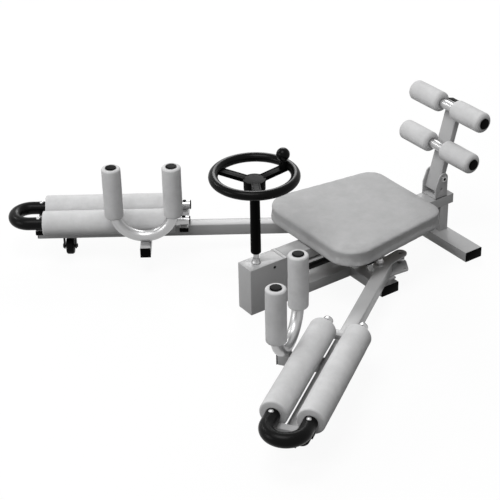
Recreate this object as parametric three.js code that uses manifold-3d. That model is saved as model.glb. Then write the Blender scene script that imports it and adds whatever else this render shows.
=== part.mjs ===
// Leg stretching machine: a low seat on a steel frame, two padded leg arms that a handwheel
// spreads through a gearbox and a screw, and a tilting lever with back rollers.
// Millimetres, +Z up, +Y towards the back rollers, +X to the right-hand arm.
// The origin is on the floor, midway between the two front feet.
import * as THREE from "three";
import { mergeVertices } from "three/addons/utils/BufferGeometryUtils.js";
import Module from "manifold-3d";

const wasm = await Module();
wasm.setup();

// Clearances
const fitGap = 0.3;
const overrun = 1;

// Frame rails, feet and post
const railWidth = 60;
const railHeight = 30;
const railWall = 2;
const frameHeight = 143;
const footHalfLength = 170;
const rearFootY = 313.5;
const postBehindFoot = 8;
const upperRailRearY = 354.5;
const capFlange = 3;
const plugDepth = 12;

// Gearbox, column and handwheel
const gearboxFrontY = -376;
const gearboxRearY = -252;
const gearboxWall = 3;
const gearboxRearWall = 12;
const columnY = -336;
const shaftRadius = 7.5;
const sleeveRadius = 13.5;
const sleeveBottomZ = 173;
const wheelZ = 410;
const wheelRadius = 109.5;
const wheelRimRadius = 13;
const wheelHubRadius = 31;
const wheelHubHeight = 24;
const wheelHubTopBelowRim = 8.5;
const spokeWidth = 22;
const spokeThickness = 9;
const spokeHubBelowRim = 13;
const spokeRimBelowRim = 4;
const spokeCount = 3;
const knobReach = 94;
const knobRadius = 18.5;
const knobHeight = 35;
const knobPinRadius = 4;
const knobNeckRadius = 8;
const knobBossHeight = 12;
const knobPinLength = 34;
const knobBossRadius = 9;

// Mitre cones inside the gearbox, drawn without teeth
const gearPitchRadius = 20;
const gearFace = 9;
const gearRunningGap = 0.4;
const gearBackThickness = 5;

// Screw, guide rod and crosshead
const screwBelowMiddle = 7.5;
const screwRadius = 10;
const guideAboveMiddle = 13.5;
const guideRadius = 7.5;
const bearingFrontY = 26;
const bearingLength = 12;
const bearingHalfWidth = 20;
const bearingCover = 7;
const railBehindBearing = 6;
const crossheadY = -31.2;
const nutHalfWidth = 24;
const nutHalfLength = 14;
const nutBelowMiddle = 25.5;
const nutAboveMiddle = 28.5;
const crossPlateHalfWidth = 121;
const crossPlateBottomZ = 82.5;
const crossPlateThickness = 6;
const crossSlotInnerX = 73;
const crossSlotOuterX = 114.5;
const crossSlotHalfWidth = 8.2;

// Links between the crosshead and the arm ears
const linkBottomZ = 72;
const linkThickness = 8;
const linkEndRadius = 12;
const linkPinRadius = 6;
const crossPinRadius = 5;
const crossPinX = 80;
const crossPinProud = 10;
const earPinRecess = 2;

// Arm pivots
const pivotX = 154;
const pivotY = -24.5;
const pivotBoltRadius = 8;
const pivotBossRadius = 20;
const pivotPlateTopZ = 59.7;
const pivotPlateThickness = 6;
const pivotPlateHalfWidth = 30;
const pivotPlateFront = 22;
const pivotPlateRear = 34;
const pivotPlateChamfer = 20;
const pedestalHalfWidth = 20;
const pedestalRear = 30;
const nutFlats = 19;
const nutHeight = 13;
const nutDomeHeight = 9;
const nutDomeInset = 1;
const washerRadius = 12.5;
const washerThickness = 2.2;

// Arms: s runs out along the arm from its pivot, t across it towards the handwheel
const armAngle = 34.5;
const armBarWidth = 37.5;
const armBarHeight = 35;
const armBarWall = 2;
const armBottomZ = 60;
const armBarOffset = -10.5;
const armInnerS = -23;
const armOuterS = 804;
const earThickness = 5;
const earHoleS = -82.3;
const earHoleT = -35.7;
const earEndRadius = 18;
const spareHoleS = -53.4;
const spareHoleT = -57.6;
const spareEndRadius = 10;
const spareHoleRadius = 3.5;
const crossTubeWidth = 22;
const crossTubeHeight = 13.5;
const crossTubeHalfLength = 56;
const innerCrossTubeS = 362;
const innerCrossTubeWidth = 26;
const saddleLength = 16;
const saddleWidth = 14;

// Padded leg rollers on their hairpin tube, and the end grip
const pipeRadius = 13.5;
const pipeWall = 1.5;
const rollerAxisZ = 127.8;
const rollerHalfSpacing = 46.8;
const pipeInnerS = 359;
const rollerInnerS = 400;
const rollerEndFromBarEnd = 23;
const rollerRadius = 36.6;
const rollerEdge = 4;
const bendBeyondBar = 17.3;
const gripRadius = 18.8;
const gripStartGap = 1.5;

// Leg cradle on its own cross tube
const cradleS = 484;
const cradleT = 103;
const cradleHalfSpacing = 83.9;
const cradleTubeSize = 30;
const cradleTubeEndT = 126.5;
const cradlePipeRadius = 16;
const cradleSaddleHeight = 11;
const cradleSaddleLength = 24;
const cradlePadRadius = 27.2;
const cradlePadBottomZ = 183;
const cradlePadTopZ = 339;
const cradlePadEdge = 5;
const pipeCapHeight = 4.5;
const pipePlugDepth = 10;

// Caster under each arm
const casterFromBarEnd = 90;
const casterRadius = 25;
const casterWidth = 24;
const casterEdge = 3;
const casterAxleRadius = 4;
const casterSideGap = 3;
const forkThickness = 3.5;
const forkHalfWidth = 12;
const forkBelowAxle = 8;

// Seat
const boardThickness = 5;
const boardInset = 18;
const cushionThickness = 49.5;
const seatFrontY = -180.8;
const seatRearY = 210.3;
const seatFrontHalfWidth = 202.3;
const seatRearHalfWidth = 168;
const seatFrontCornerRadius = 78;
const seatRearCornerRadius = 53;
const seatCornerSides = 32;
const cushionEdge = 5;
const cushionCrown = 2.5;
const cushionDrawIn = 1.5;

// Back lever, its bracket, bars and pads
const leverPivotY = 311.5;
const leverPivotAboveRail = 62;
const leverTilt = 15.6;
const leverWidth = 50;
const leverDepth = 20;
const leverWall = 2;
const leverBelowPivot = 44;
const leverAbovePivot = 227;
const leverPinRadius = 6;
const leverHeadRadius = 8.5;
const leverHeadLength = 5;
const leverEarThickness = 4;
const leverEarFront = 27.5;
const leverEarTopRadius = 17;
const leverEarShoulder = 38;
const leverBasePlate = 4;
const leverLockRadius = 4;
const leverLockForward = 6;
const leverLockBelow = 33;
const backBarRadius = 13.5;
const backBarWall = 1.5;
const backBarHalfLength = 147;
const upperBarAlong = 213;
const lowerBarAlong = 90.5;
const backPadRadius = 30;
const backPadEdge = 8;
const backPadFromLever = 2.5;
const backCapRadius = 16;

const roundSides = 16;
const padSides = 28;
const pipeSides = 12;
const bendSteps = 12;
const wheelSides = 48;

const paint = new THREE.MeshStandardMaterial({ color: 0xa3a4a6, roughness: 0.32, metalness: 0.55 });
const chrome = new THREE.MeshStandardMaterial({ color: 0xdcdddf, roughness: 0.12, metalness: 1 });
const steel = new THREE.MeshStandardMaterial({ color: 0x8e8f92, roughness: 0.35, metalness: 1 });
const foam = new THREE.MeshStandardMaterial({ color: 0xb9b9ba, roughness: 0.85, metalness: 0 });
const vinyl = new THREE.MeshStandardMaterial({ color: 0xb4b4b5, roughness: 0.6, metalness: 0 });
const blackFoam = new THREE.MeshStandardMaterial({ color: 0x151516, roughness: 0.6, metalness: 0 });
const plastic = new THREE.MeshStandardMaterial({ color: 0x0e0e0f, roughness: 0.45, metalness: 0 });
const oiledSteel = new THREE.MeshStandardMaterial({ color: 0x1d1d1f, roughness: 0.4, metalness: 0.8 });
const plywood = new THREE.MeshStandardMaterial({ color: 0x8b7250, roughness: 0.8, metalness: 0 });

const machine = new THREE.Group();

// Closed solids from three.js geometries, and back
function solid(geometry) {
  const bare = geometry.clone();
  bare.deleteAttribute("normal");
  bare.deleteAttribute("uv");
  const merged = mergeVertices(bare);
  const vertProperties = new Float32Array(merged.attributes.position.array);
  const triVerts = new Uint32Array(merged.index.array);
  return new wasm.Manifold(new wasm.Mesh({ numProp: 3, vertProperties, triVerts }));
}

function geometryOf(manifold) {
  const mesh = manifold.getMesh();
  const geometry = new THREE.BufferGeometry();
  geometry.setAttribute("position", new THREE.BufferAttribute(mesh.vertProperties, 3));
  geometry.setIndex(new THREE.BufferAttribute(mesh.triVerts, 1));
  geometry.computeVertexNormals();
  return geometry;
}

function join(...pieces) {
  return pieces.reduce((sum, piece) => sum.add(piece));
}

function cut(piece, ...tools) {
  return tools.reduce((rest, tool) => rest.subtract(tool), piece);
}

function box(x0, x1, y0, y1, z0, z1) {
  const geometry = new THREE.BoxGeometry(x1 - x0, y1 - y0, z1 - z0);
  geometry.translate((x0 + x1) / 2, (y0 + y1) / 2, (z0 + z1) / 2);
  return solid(geometry);
}

// Round rods: from one height, depth or width to another
function rodZ(x, y, z0, z1, radius, sides = roundSides) {
  const geometry = new THREE.CylinderGeometry(radius, radius, z1 - z0, sides);
  geometry.rotateX(Math.PI / 2);
  geometry.translate(x, y, (z0 + z1) / 2);
  return solid(geometry);
}

function rodY(x, y0, y1, z, radius, sides = roundSides) {
  const geometry = new THREE.CylinderGeometry(radius, radius, y1 - y0, sides);
  geometry.translate(x, (y0 + y1) / 2, z);
  return solid(geometry);
}

function rodX(x0, x1, y, z, radius, sides = roundSides) {
  const geometry = new THREE.CylinderGeometry(radius, radius, x1 - x0, sides);
  geometry.rotateZ(Math.PI / 2);
  geometry.translate((x0 + x1) / 2, y, z);
  return solid(geometry);
}

// A profile of [radius, height] points turned about the Z axis
function turned(profile, sides = roundSides) {
  const points = profile.map(([radius, height]) => new THREE.Vector2(radius, height));
  const geometry = new THREE.LatheGeometry(points, sides);
  geometry.rotateX(Math.PI / 2);
  return geometry;
}

// A flat outline raised from one height to another
function plate(shape, z0, z1, curveSegments = roundSides / 2) {
  const settings = { depth: z1 - z0, bevelEnabled: false, curveSegments };
  const geometry = new THREE.ExtrudeGeometry(shape, settings);
  geometry.translate(0, 0, z0);
  return geometry;
}

// Rubber band around circles given as [x, y, radius]
function bandShape(circles, sides = roundSides) {
  const cloud = [];
  for (const [x, y, radius] of circles) {
    for (let i = 0; i < sides; i += 1) {
      const turn = (i / sides) * Math.PI * 2;
      cloud.push(new THREE.Vector2(x + radius * Math.cos(turn), y + radius * Math.sin(turn)));
    }
  }
  cloud.sort((a, b) => a.x - b.x || a.y - b.y);
  const half = (points) => {
    const chain = [];
    for (const point of points) {
      while (chain.length > 1 && bends(chain.at(-2), chain.at(-1), point) <= 0) chain.pop();
      chain.push(point);
    }
    chain.pop();
    return chain;
  };
  return new THREE.Shape([...half(cloud), ...half([...cloud].reverse())]);
}

function bends(a, b, c) {
  return (b.x - a.x) * (c.y - a.y) - (b.y - a.y) * (c.x - a.x);
}

function mirroredInY(geometry) {
  const copy = geometry.clone();
  copy.scale(1, -1, 1);
  const corners = copy.index.array;
  for (let i = 0; i < corners.length; i += 3) {
    [corners[i], corners[i + 1]] = [corners[i + 1], corners[i]];
  }
  copy.computeVertexNormals();
  return copy;
}

// A pipe path with its own list of stations, so straight runs stay one step long
class PipePath extends THREE.Curve {
  constructor(points, tangents) {
    super();
    this.points = points;
    this.tangents = tangents;
  }

  station(list, share) {
    return list[Math.round(share * (list.length - 1))].clone();
  }

  getPoint(share) {
    return this.station(this.points, share);
  }

  getPointAt(share) {
    return this.station(this.points, share);
  }

  getTangentAt(share) {
    return this.station(this.tangents, share);
  }
}

// Two parallel legs and the half circle that joins them, placed by a function of reach and side
function hairpin(legStart, bendCentre, halfSpacing, place, direct) {
  const points = [place(legStart, halfSpacing)];
  const tangents = [direct(1, 0)];
  for (let i = 0; i <= bendSteps; i += 1) {
    const turn = (i / bendSteps) * Math.PI;
    points.push(place(bendCentre + halfSpacing * Math.sin(turn), halfSpacing * Math.cos(turn)));
    tangents.push(direct(Math.cos(turn), -Math.sin(turn)));
  }
  points.push(place(legStart, -halfSpacing));
  tangents.push(direct(-1, 0));
  return new PipePath(points, tangents);
}

function pipeAlong(path, outerRadius, innerRadius) {
  const shape = new THREE.Shape();
  shape.absarc(0, 0, outerRadius, 0, Math.PI * 2, false);
  if (innerRadius > 0) {
    const hollow = new THREE.Path();
    hollow.absarc(0, 0, innerRadius, 0, Math.PI * 2, true);
    shape.holes.push(hollow);
  }
  const steps = path.points.length - 1;
  const settings = { steps, curveSegments: pipeSides / 2, bevelEnabled: false, extrudePath: path };
  return new THREE.ExtrudeGeometry(shape, settings);
}

// Sleeve around a straight pipe, its ends chamfered, standing on z = 0
function sleeveProfile(innerRadius, outerRadius, length, edge) {
  return [
    [innerRadius, 0],
    [outerRadius - edge, 0],
    [outerRadius, edge],
    [outerRadius, length - edge],
    [outerRadius - edge, length],
    [innerRadius, length],
    [innerRadius, 0],
  ];
}

function addMesh(parent, name, shape, material) {
  const geometry = shape.isBufferGeometry ? shape : geometryOf(shape);
  const mesh = new THREE.Mesh(geometry, material);
  mesh.name = name;
  parent.add(mesh);
  return mesh;
}

// Square and rectangular tube along X or Y, open at both ends
function tubeY(x0, x1, y0, y1, z0, z1, wall) {
  const hollow = box(x0 + wall, x1 - wall, y0 - overrun, y1 + overrun, z0 + wall, z1 - wall);
  return cut(box(x0, x1, y0, y1, z0, z1), hollow);
}

function tubeX(x0, x1, y0, y1, z0, z1, wall) {
  const hollow = box(x0 - overrun, x1 + overrun, y0 + wall, y1 - wall, z0 + wall, z1 - wall);
  return cut(box(x0, x1, y0, y1, z0, z1), hollow);
}

// Plastic plug: a flange over the tube's end at the given x, and a core inside the tube
function tubePlugX(endX, y0, y1, z0, z1, outward) {
  const flange = [endX, endX + outward * capFlange].sort((a, b) => a - b);
  const core = [endX - outward * plugDepth, endX + outward * capFlange].sort((a, b) => a - b);
  const inset = railWall + fitGap;
  return join(
    box(...flange, y0, y1, z0, z1),
    box(...core, y0 + inset, y1 - inset, z0 + inset, z1 - inset),
  );
}

const halfRail = railWidth / 2;
const upperRailZ = frameHeight - railHeight;
const driveMiddleZ = (railHeight + upperRailZ) / 2;
const screwZ = driveMiddleZ - screwBelowMiddle;
const guideZ = driveMiddleZ + guideAboveMiddle;
const leverPivotZ = frameHeight + leverPivotAboveRail;
const rearFootFrontY = rearFootY - halfRail;
const rearFootRearY = rearFootY + halfRail;
const bearingRearY = bearingFrontY + bearingLength;
const armTopZ = armBottomZ + armBarHeight;
const rollerOuterS = armOuterS - rollerEndFromBarEnd;
const bendS = armOuterS + bendBeyondBar;
const casterS = armOuterS - casterFromBarEnd;
const cradleTubeTopZ = rollerAxisZ - rollerRadius - fitGap;
const cradleTubeBottomZ = cradleTubeTopZ - cradleTubeSize;

// Lower beam, with the block on it that carries the screw and the guide rod
function lowerBeam() {
  const frontY = bearingFrontY - overrun;
  const rearY = bearingRearY + overrun;
  const bearing = box(
    -bearingHalfWidth,
    bearingHalfWidth,
    bearingFrontY,
    bearingRearY,
    railHeight - railWall,
    guideZ + guideRadius + bearingCover,
  );
  const railRearY = bearingRearY + railBehindBearing;
  const rail = tubeY(-halfRail, halfRail, gearboxRearY, railRearY, 0, railHeight, railWall);
  return cut(
    join(rail, bearing),
    rodY(0, frontY, rearY, screwZ, screwRadius + fitGap),
    rodY(0, frontY, rearY, guideZ, guideRadius + fitGap),
  );
}

function addRails() {
  addMesh(machine, "lower_beam", lowerBeam(), paint);
  const [frontY, rearY] = [gearboxRearY, upperRailRearY];
  const upper = tubeY(-halfRail, halfRail, frontY, rearY, upperRailZ, frameHeight, railWall);
  addMesh(machine, "upper_beam", upper, paint);

  const postFrontY = rearFootY + postBehindFoot - railHeight / 2;
  const postRearY = postFrontY + railHeight;
  const inside = box(
    -halfRail + railWall,
    halfRail - railWall,
    postFrontY + railWall,
    postRearY - railWall,
    railHeight - overrun,
    upperRailZ + overrun,
  );
  const post = cut(box(-halfRail, halfRail, postFrontY, postRearY, railHeight, upperRailZ), inside);
  addMesh(machine, "rear_post", post, paint);

  const guide = rodY(0, gearboxRearY, bearingRearY, guideZ, guideRadius);
  addMesh(machine, "guide_rod", guide, chrome);
}

function addRearFoot() {
  const [frontY, rearY] = [rearFootFrontY, rearFootRearY];
  const foot = tubeX(-footHalfLength, footHalfLength, frontY, rearY, 0, railHeight, railWall);
  addMesh(machine, "rear_foot", foot, paint);
  for (const [name, side] of [["right", 1], ["left", -1]]) {
    const plug = tubePlugX(side * footHalfLength, frontY, rearY, 0, railHeight, side);
    addMesh(machine, `rear_foot_cap_${name}`, plug, plastic);
  }
}

// Domed hexagon nut on a washer, standing on z = 0
function domedNut() {
  const across = nutFlats / Math.sqrt(3);
  const domeRadius = nutFlats / 2 - nutDomeInset;
  const topZ = washerThickness + nutHeight;
  const dome = turned([
    [0, washerThickness],
    [domeRadius, washerThickness],
    [domeRadius, topZ],
    [domeRadius * Math.cos(Math.PI / 6), topZ + nutDomeHeight / 2],
    [domeRadius / 2, topZ + nutDomeHeight * Math.cos(Math.PI / 6)],
    [0, topZ + nutDomeHeight],
  ]);
  return join(
    rodZ(0, 0, 0, washerThickness + overrun, washerRadius),
    rodZ(0, 0, washerThickness, topZ, across, 6),
    solid(dome),
  );
}

// Right front foot with its pedestal, pivot plate and pivot stud
function frontFoot() {
  const plateBottomZ = pivotPlateTopZ - pivotPlateThickness;
  const frontY = pivotY - pivotPlateFront;
  const rearY = pivotY + pivotPlateRear;
  const innerX = pivotX - pivotPlateHalfWidth;
  const outerX = pivotX + pivotPlateHalfWidth;
  const outline = new THREE.Shape([
    new THREE.Vector2(innerX + pivotPlateChamfer, frontY),
    new THREE.Vector2(outerX - pivotPlateChamfer, frontY),
    new THREE.Vector2(outerX, frontY + pivotPlateChamfer),
    new THREE.Vector2(outerX, rearY),
    new THREE.Vector2(innerX, rearY),
    new THREE.Vector2(innerX, frontY + pivotPlateChamfer),
  ]);
  const pedestal = box(
    pivotX - pedestalHalfWidth,
    footHalfLength,
    -halfRail,
    pivotY + pedestalRear,
    railHeight - railWall,
    plateBottomZ + overrun,
  );
  const nut = geometryOf(domedNut());
  nut.translate(pivotX, pivotY, armTopZ + fitGap);
  return join(
    tubeX(halfRail, footHalfLength, -halfRail, halfRail, 0, railHeight, railWall),
    pedestal,
    solid(plate(outline, plateBottomZ, pivotPlateTopZ)),
    rodZ(pivotX, pivotY, plateBottomZ, armTopZ + washerThickness, pivotBoltRadius),
    solid(nut),
  );
}

function addFrontFeet() {
  const right = geometryOf(frontFoot());
  const left = mirroredInY(right);
  left.rotateZ(Math.PI);
  addMesh(machine, "front_foot_right", right, paint);
  addMesh(machine, "front_foot_left", left, paint);
  for (const [name, side] of [["right", 1], ["left", -1]]) {
    const plug = tubePlugX(side * footHalfLength, -halfRail, halfRail, 0, railHeight, side);
    addMesh(machine, `front_foot_cap_${name}`, plug, plastic);
  }
}

function addGearbox() {
  const outer = box(-halfRail, halfRail, gearboxFrontY, gearboxRearY, 0, frameHeight);
  const inner = box(
    -halfRail + gearboxWall,
    halfRail - gearboxWall,
    gearboxFrontY + gearboxWall,
    gearboxRearY - gearboxRearWall,
    gearboxWall,
    frameHeight - gearboxWall,
  );
  const frontY = gearboxRearY - gearboxRearWall - overrun;
  const housing = cut(
    outer,
    inner,
    rodZ(0, columnY, frameHeight - gearboxWall - overrun, frameHeight + overrun, shaftRadius + fitGap),
    rodY(0, frontY, gearboxRearY + overrun, screwZ, screwRadius + fitGap),
  );
  addMesh(machine, "gearbox_housing", housing, paint);
}

// Plain mitre cone about +Z with its apex at the origin, the large end up
function mitreCone() {
  const small = gearPitchRadius - gearFace;
  const topZ = gearPitchRadius + gearBackThickness;
  return turned([
    [0, small + gearRunningGap],
    [small, small + gearRunningGap],
    [gearPitchRadius, gearPitchRadius + gearRunningGap],
    [gearPitchRadius, topZ],
    [0, topZ],
  ]);
}

function addDrive() {
  const hubTopZ = wheelZ - wheelHubTopBelowRim;
  const hubBottomZ = hubTopZ - wheelHubHeight;
  const coneTop = gearPitchRadius + gearBackThickness;
  const upperCone = mitreCone();
  upperCone.translate(0, columnY, screwZ);
  const rod = rodZ(0, columnY, screwZ + coneTop - overrun, hubTopZ - overrun, shaftRadius);
  addMesh(machine, "drive_shaft", join(solid(upperCone), rod), chrome);

  const [bottomZ, topZ] = [sleeveBottomZ - overrun, hubBottomZ + overrun];
  const sleeve = cut(
    rodZ(0, columnY, sleeveBottomZ, hubBottomZ - fitGap, sleeveRadius),
    rodZ(0, columnY, bottomZ, topZ, shaftRadius + fitGap),
  );
  addMesh(machine, "column_sleeve", sleeve, plastic);

  const screwCone = mitreCone();
  screwCone.rotateX(-Math.PI / 2);
  screwCone.translate(0, columnY, screwZ);
  const screwFrontY = columnY + coneTop - overrun;
  const screw = join(solid(screwCone), rodY(0, screwFrontY, bearingRearY, screwZ, screwRadius));
  addMesh(machine, "lead_screw", screw, oiledSteel);
}

function addHandwheel() {
  const hubTopZ = wheelZ - wheelHubTopBelowRim;
  const hubBottomZ = hubTopZ - wheelHubHeight;
  const rimProfile = [];
  for (let i = 0; i <= pipeSides; i += 1) {
    const turn = (i / pipeSides) * Math.PI * 2;
    rimProfile.push([wheelRadius + wheelRimRadius * Math.cos(turn), wheelRimRadius * Math.sin(turn)]);
  }
  const rim = turned(rimProfile, wheelSides);
  rim.translate(0, columnY, wheelZ);
  const hub = rodZ(0, columnY, hubBottomZ, hubTopZ, wheelHubRadius);
  const innerReach = wheelHubRadius / 2;
  const run = wheelRadius - innerReach;
  const rise = spokeHubBelowRim - spokeRimBelowRim;
  const spokes = [];
  for (let i = 0; i < spokeCount; i += 1) {
    const spoke = new THREE.BoxGeometry(spokeWidth, Math.hypot(run, rise), spokeThickness);
    spoke.rotateX(Math.atan2(rise, run));
    spoke.translate(0, innerReach + run / 2, wheelZ - spokeHubBelowRim + rise / 2);
    spoke.rotateZ((i / spokeCount) * Math.PI * 2);
    spoke.translate(0, columnY, 0);
    spokes.push(solid(spoke));
  }
  const knobY = columnY + knobReach;
  const spokeMiddleZ = wheelZ - spokeRimBelowRim - (rise / run) * (wheelRadius - knobReach);
  const spokeTopZ = spokeMiddleZ + spokeThickness / 2;
  const boss = rodZ(0, knobY, spokeMiddleZ, spokeTopZ + knobBossHeight, knobBossRadius);
  const pin = rodZ(0, knobY, spokeTopZ, wheelZ + knobPinLength, knobPinRadius);
  const bore = rodZ(0, columnY, hubBottomZ - overrun, hubTopZ - overrun + fitGap, shaftRadius + fitGap);
  const wheel = cut(join(solid(rim), hub, ...spokes, boss, pin), bore);
  addMesh(machine, "handwheel", wheel, plastic);

  const neckZ = spokeTopZ + knobBossHeight + fitGap;
  const ball = new THREE.SphereGeometry(knobRadius, roundSides, roundSides / 2);
  ball.rotateX(Math.PI / 2);
  ball.translate(0, knobY, wheelZ + knobHeight);
  const neck = rodZ(0, knobY, neckZ, wheelZ + knobHeight, knobNeckRadius);
  const knobBore = rodZ(0, knobY, neckZ - overrun, wheelZ + knobPinLength + fitGap, knobPinRadius + fitGap);
  addMesh(machine, "wheel_knob", cut(join(solid(ball), neck), knobBore), plastic);
}

function addCrosshead() {
  const plateTopZ = crossPlateBottomZ + crossPlateThickness;
  const rearY = crossheadY + nutHalfLength;
  const frontY = crossheadY - nutHalfLength;
  const nutBottomZ = driveMiddleZ - nutBelowMiddle;
  const nutTopZ = driveMiddleZ + nutAboveMiddle;
  const block = box(-nutHalfWidth, nutHalfWidth, frontY, rearY, nutBottomZ, nutTopZ);
  const halfWidth = crossPlateHalfWidth;
  const arms = box(-halfWidth, halfWidth, frontY, rearY, crossPlateBottomZ, plateTopZ);
  const slots = [1, -1].map((side) => {
    const ends = [crossSlotInnerX + crossSlotHalfWidth, crossSlotOuterX - crossSlotHalfWidth];
    const shape = bandShape(ends.map((x) => [side * x, crossheadY, crossSlotHalfWidth]));
    return solid(plate(shape, crossPlateBottomZ - overrun, plateTopZ + overrun));
  });
  const crosshead = cut(
    join(block, arms),
    ...slots,
    rodY(0, frontY - overrun, rearY + overrun, screwZ, screwRadius + fitGap),
    rodY(0, frontY - overrun, rearY + overrun, guideZ, guideRadius + fitGap),
  );
  addMesh(machine, "crosshead", crosshead, oiledSteel);
}

// Where a point of the right arm, given along and across it, lies in the machine
function onRightArm(s, t) {
  const angle = THREE.MathUtils.degToRad(armAngle);
  const x = pivotX + s * Math.sin(angle) - t * Math.cos(angle);
  const y = pivotY - s * Math.cos(angle) - t * Math.sin(angle);
  return [x, y];
}

function addLinks() {
  const [earX, earY] = onRightArm(earHoleS, earHoleT);
  const linkTopZ = linkBottomZ + linkThickness;
  const earPinBottomZ = armBottomZ + earPinRecess;
  const bar = bandShape([[earX, earY, linkEndRadius], [crossPinX, crossheadY, linkEndRadius]]);
  const link = join(
    solid(plate(bar, linkBottomZ, linkTopZ)),
    rodZ(earX, earY, earPinBottomZ, armTopZ - earPinRecess, linkPinRadius),
    rodZ(crossPinX, crossheadY, linkTopZ - overrun, linkTopZ + crossPinProud, crossPinRadius),
  );
  const right = geometryOf(link);
  const left = mirroredInY(right);
  left.rotateZ(Math.PI);
  addMesh(machine, "link_right", right, steel);
  addMesh(machine, "link_left", left, steel);
}

// Ear plate outline in arm coordinates, with y = -t
function earShape(withSpareHole) {
  const circles = [[0, 0, pivotBossRadius], [earHoleS, -earHoleT, earEndRadius]];
  if (withSpareHole) circles.push([spareHoleS, -spareHoleT, spareEndRadius]);
  return bandShape(circles);
}

// The bar's middle and its two sides, as y in arm coordinates
const armMiddleY = -armBarOffset;
const barInnerY = armMiddleY - armBarWidth / 2;
const barOuterY = armMiddleY + armBarWidth / 2;

function armBar() {
  const hollow = box(
    pivotBossRadius,
    armOuterS + overrun,
    barInnerY + armBarWall,
    barOuterY - armBarWall,
    armBottomZ + armBarWall,
    armTopZ - armBarWall,
  );
  return cut(box(armInnerS, armOuterS, barInnerY, barOuterY, armBottomZ, armTopZ), hollow);
}

// Short tube across the bar's top, which holds the hairpin tube's legs
function crossTube(s, width) {
  const topZ = armTopZ + crossTubeHeight;
  const innerY = armMiddleY - crossTubeHalfLength;
  const outerY = armMiddleY + crossTubeHalfLength;
  const hollow = box(
    s + armBarWall,
    s + width - armBarWall,
    innerY - overrun,
    outerY + overrun,
    armTopZ + armBarWall,
    topZ - armBarWall,
  );
  return cut(box(s, s + width, innerY, outerY, armTopZ - overrun, topZ), hollow);
}

// Block between the inner cross tube and one leg of the hairpin tube
function legSaddle(side) {
  const middleS = innerCrossTubeS + innerCrossTubeWidth / 2;
  const middleY = armMiddleY + side * rollerHalfSpacing;
  return box(
    middleS - saddleLength / 2,
    middleS + saddleLength / 2,
    middleY - saddleWidth / 2,
    middleY + saddleWidth / 2,
    armTopZ + crossTubeHeight - overrun,
    rollerAxisZ - pipeRadius - fitGap,
  );
}

function armFrame() {
  const lowerEarTopZ = armBottomZ + earThickness;
  const upperEarZ = armTopZ - earThickness;
  const whole = join(
    armBar(),
    solid(plate(earShape(false), upperEarZ, armTopZ)),
    solid(plate(earShape(true), armBottomZ, lowerEarTopZ)),
    rodZ(0, 0, armBottomZ, armTopZ, pivotBossRadius),
    crossTube(innerCrossTubeS, innerCrossTubeWidth),
    crossTube(armOuterS - crossTubeWidth, crossTubeWidth),
    legSaddle(1),
    legSaddle(-1),
    cradleArm(),
    casterFork(),
  );
  const [bottomZ, topZ] = [armBottomZ - overrun, armTopZ + overrun];
  return cut(
    whole,
    earGap(lowerEarTopZ, upperEarZ),
    rodZ(0, 0, bottomZ, topZ, pivotBoltRadius + fitGap),
    rodZ(earHoleS, -earHoleT, bottomZ, topZ, linkPinRadius + fitGap),
    rodZ(spareHoleS, -spareHoleT, bottomZ, upperEarZ, spareHoleRadius),
  );
}

// Clears the space between the two ears, behind the bar's inner end
function earGap(bottomZ, topZ) {
  const rearS = earHoleS - earEndRadius - overrun;
  const sideY = -spareHoleT + spareEndRadius + overrun;
  return box(rearS, armInnerS - earThickness, -sideY, sideY, bottomZ, topZ);
}

// Square tube that carries the cradle, and the saddle under its U
function cradleArm() {
  const half = cradleTubeSize / 2;
  const [innerS, outerS] = [cradleS - half, cradleS + half];
  const [bottomZ, topZ] = [cradleTubeBottomZ, cradleTubeTopZ];
  const tube = box(innerS, outerS, -cradleTubeEndT, barInnerY + armBarWall, bottomZ, topZ);
  const hollow = box(
    innerS + armBarWall,
    outerS - armBarWall,
    -cradleTubeEndT - overrun,
    barInnerY - fitGap,
    bottomZ + armBarWall,
    topZ - armBarWall,
  );
  const saddle = box(
    cradleS - cradleSaddleLength / 2,
    cradleS + cradleSaddleLength / 2,
    -cradleT - saddleWidth / 2,
    -cradleT + saddleWidth / 2,
    topZ - overrun,
    topZ + cradleSaddleHeight,
  );
  return join(cut(tube, hollow), saddle);
}

// Rigid caster fork with its axle, under the bar
function casterFork() {
  const inside = casterWidth / 2 + casterSideGap;
  const outside = inside + forkThickness;
  const axisY = armMiddleY;
  const bottomZ = casterRadius - forkBelowAxle;
  const crown = box(
    casterS - outside,
    casterS + outside,
    axisY - forkHalfWidth,
    axisY + forkHalfWidth,
    armBottomZ - forkThickness,
    armBottomZ + overrun,
  );
  const cheeks = [1, -1].map((side) => {
    const faces = [casterS + side * inside, casterS + side * outside].sort((a, b) => a - b);
    const leg = box(...faces, axisY - forkHalfWidth, axisY + forkHalfWidth, casterRadius, armBottomZ);
    const foot = rodX(...faces, axisY, casterRadius, forkHalfWidth);
    const trim = box(
      faces[0] - overrun,
      faces[1] + overrun,
      axisY - forkHalfWidth - overrun,
      axisY + forkHalfWidth + overrun,
      0,
      bottomZ,
    );
    return cut(join(leg, foot), trim);
  });
  const axle = rodX(casterS - outside, casterS + outside, axisY, casterRadius, casterAxleRadius);
  return join(crown, ...cheeks, axle);
}

function casterWheel() {
  const half = casterWidth / 2;
  const profile = sleeveProfile(casterAxleRadius + fitGap, casterRadius, casterWidth, casterEdge);
  const wheel = turned(profile, padSides);
  wheel.translate(0, 0, -half);
  wheel.rotateY(Math.PI / 2);
  wheel.translate(casterS, armMiddleY, casterRadius);
  return geometryOf(solid(wheel));
}

function rollerPath(legStart) {
  const place = (reach, across) => new THREE.Vector3(reach, armMiddleY + across, rollerAxisZ);
  const direct = (along, across) => new THREE.Vector3(along, across, 0);
  return hairpin(legStart, bendS, rollerHalfSpacing, place, direct);
}

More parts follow.
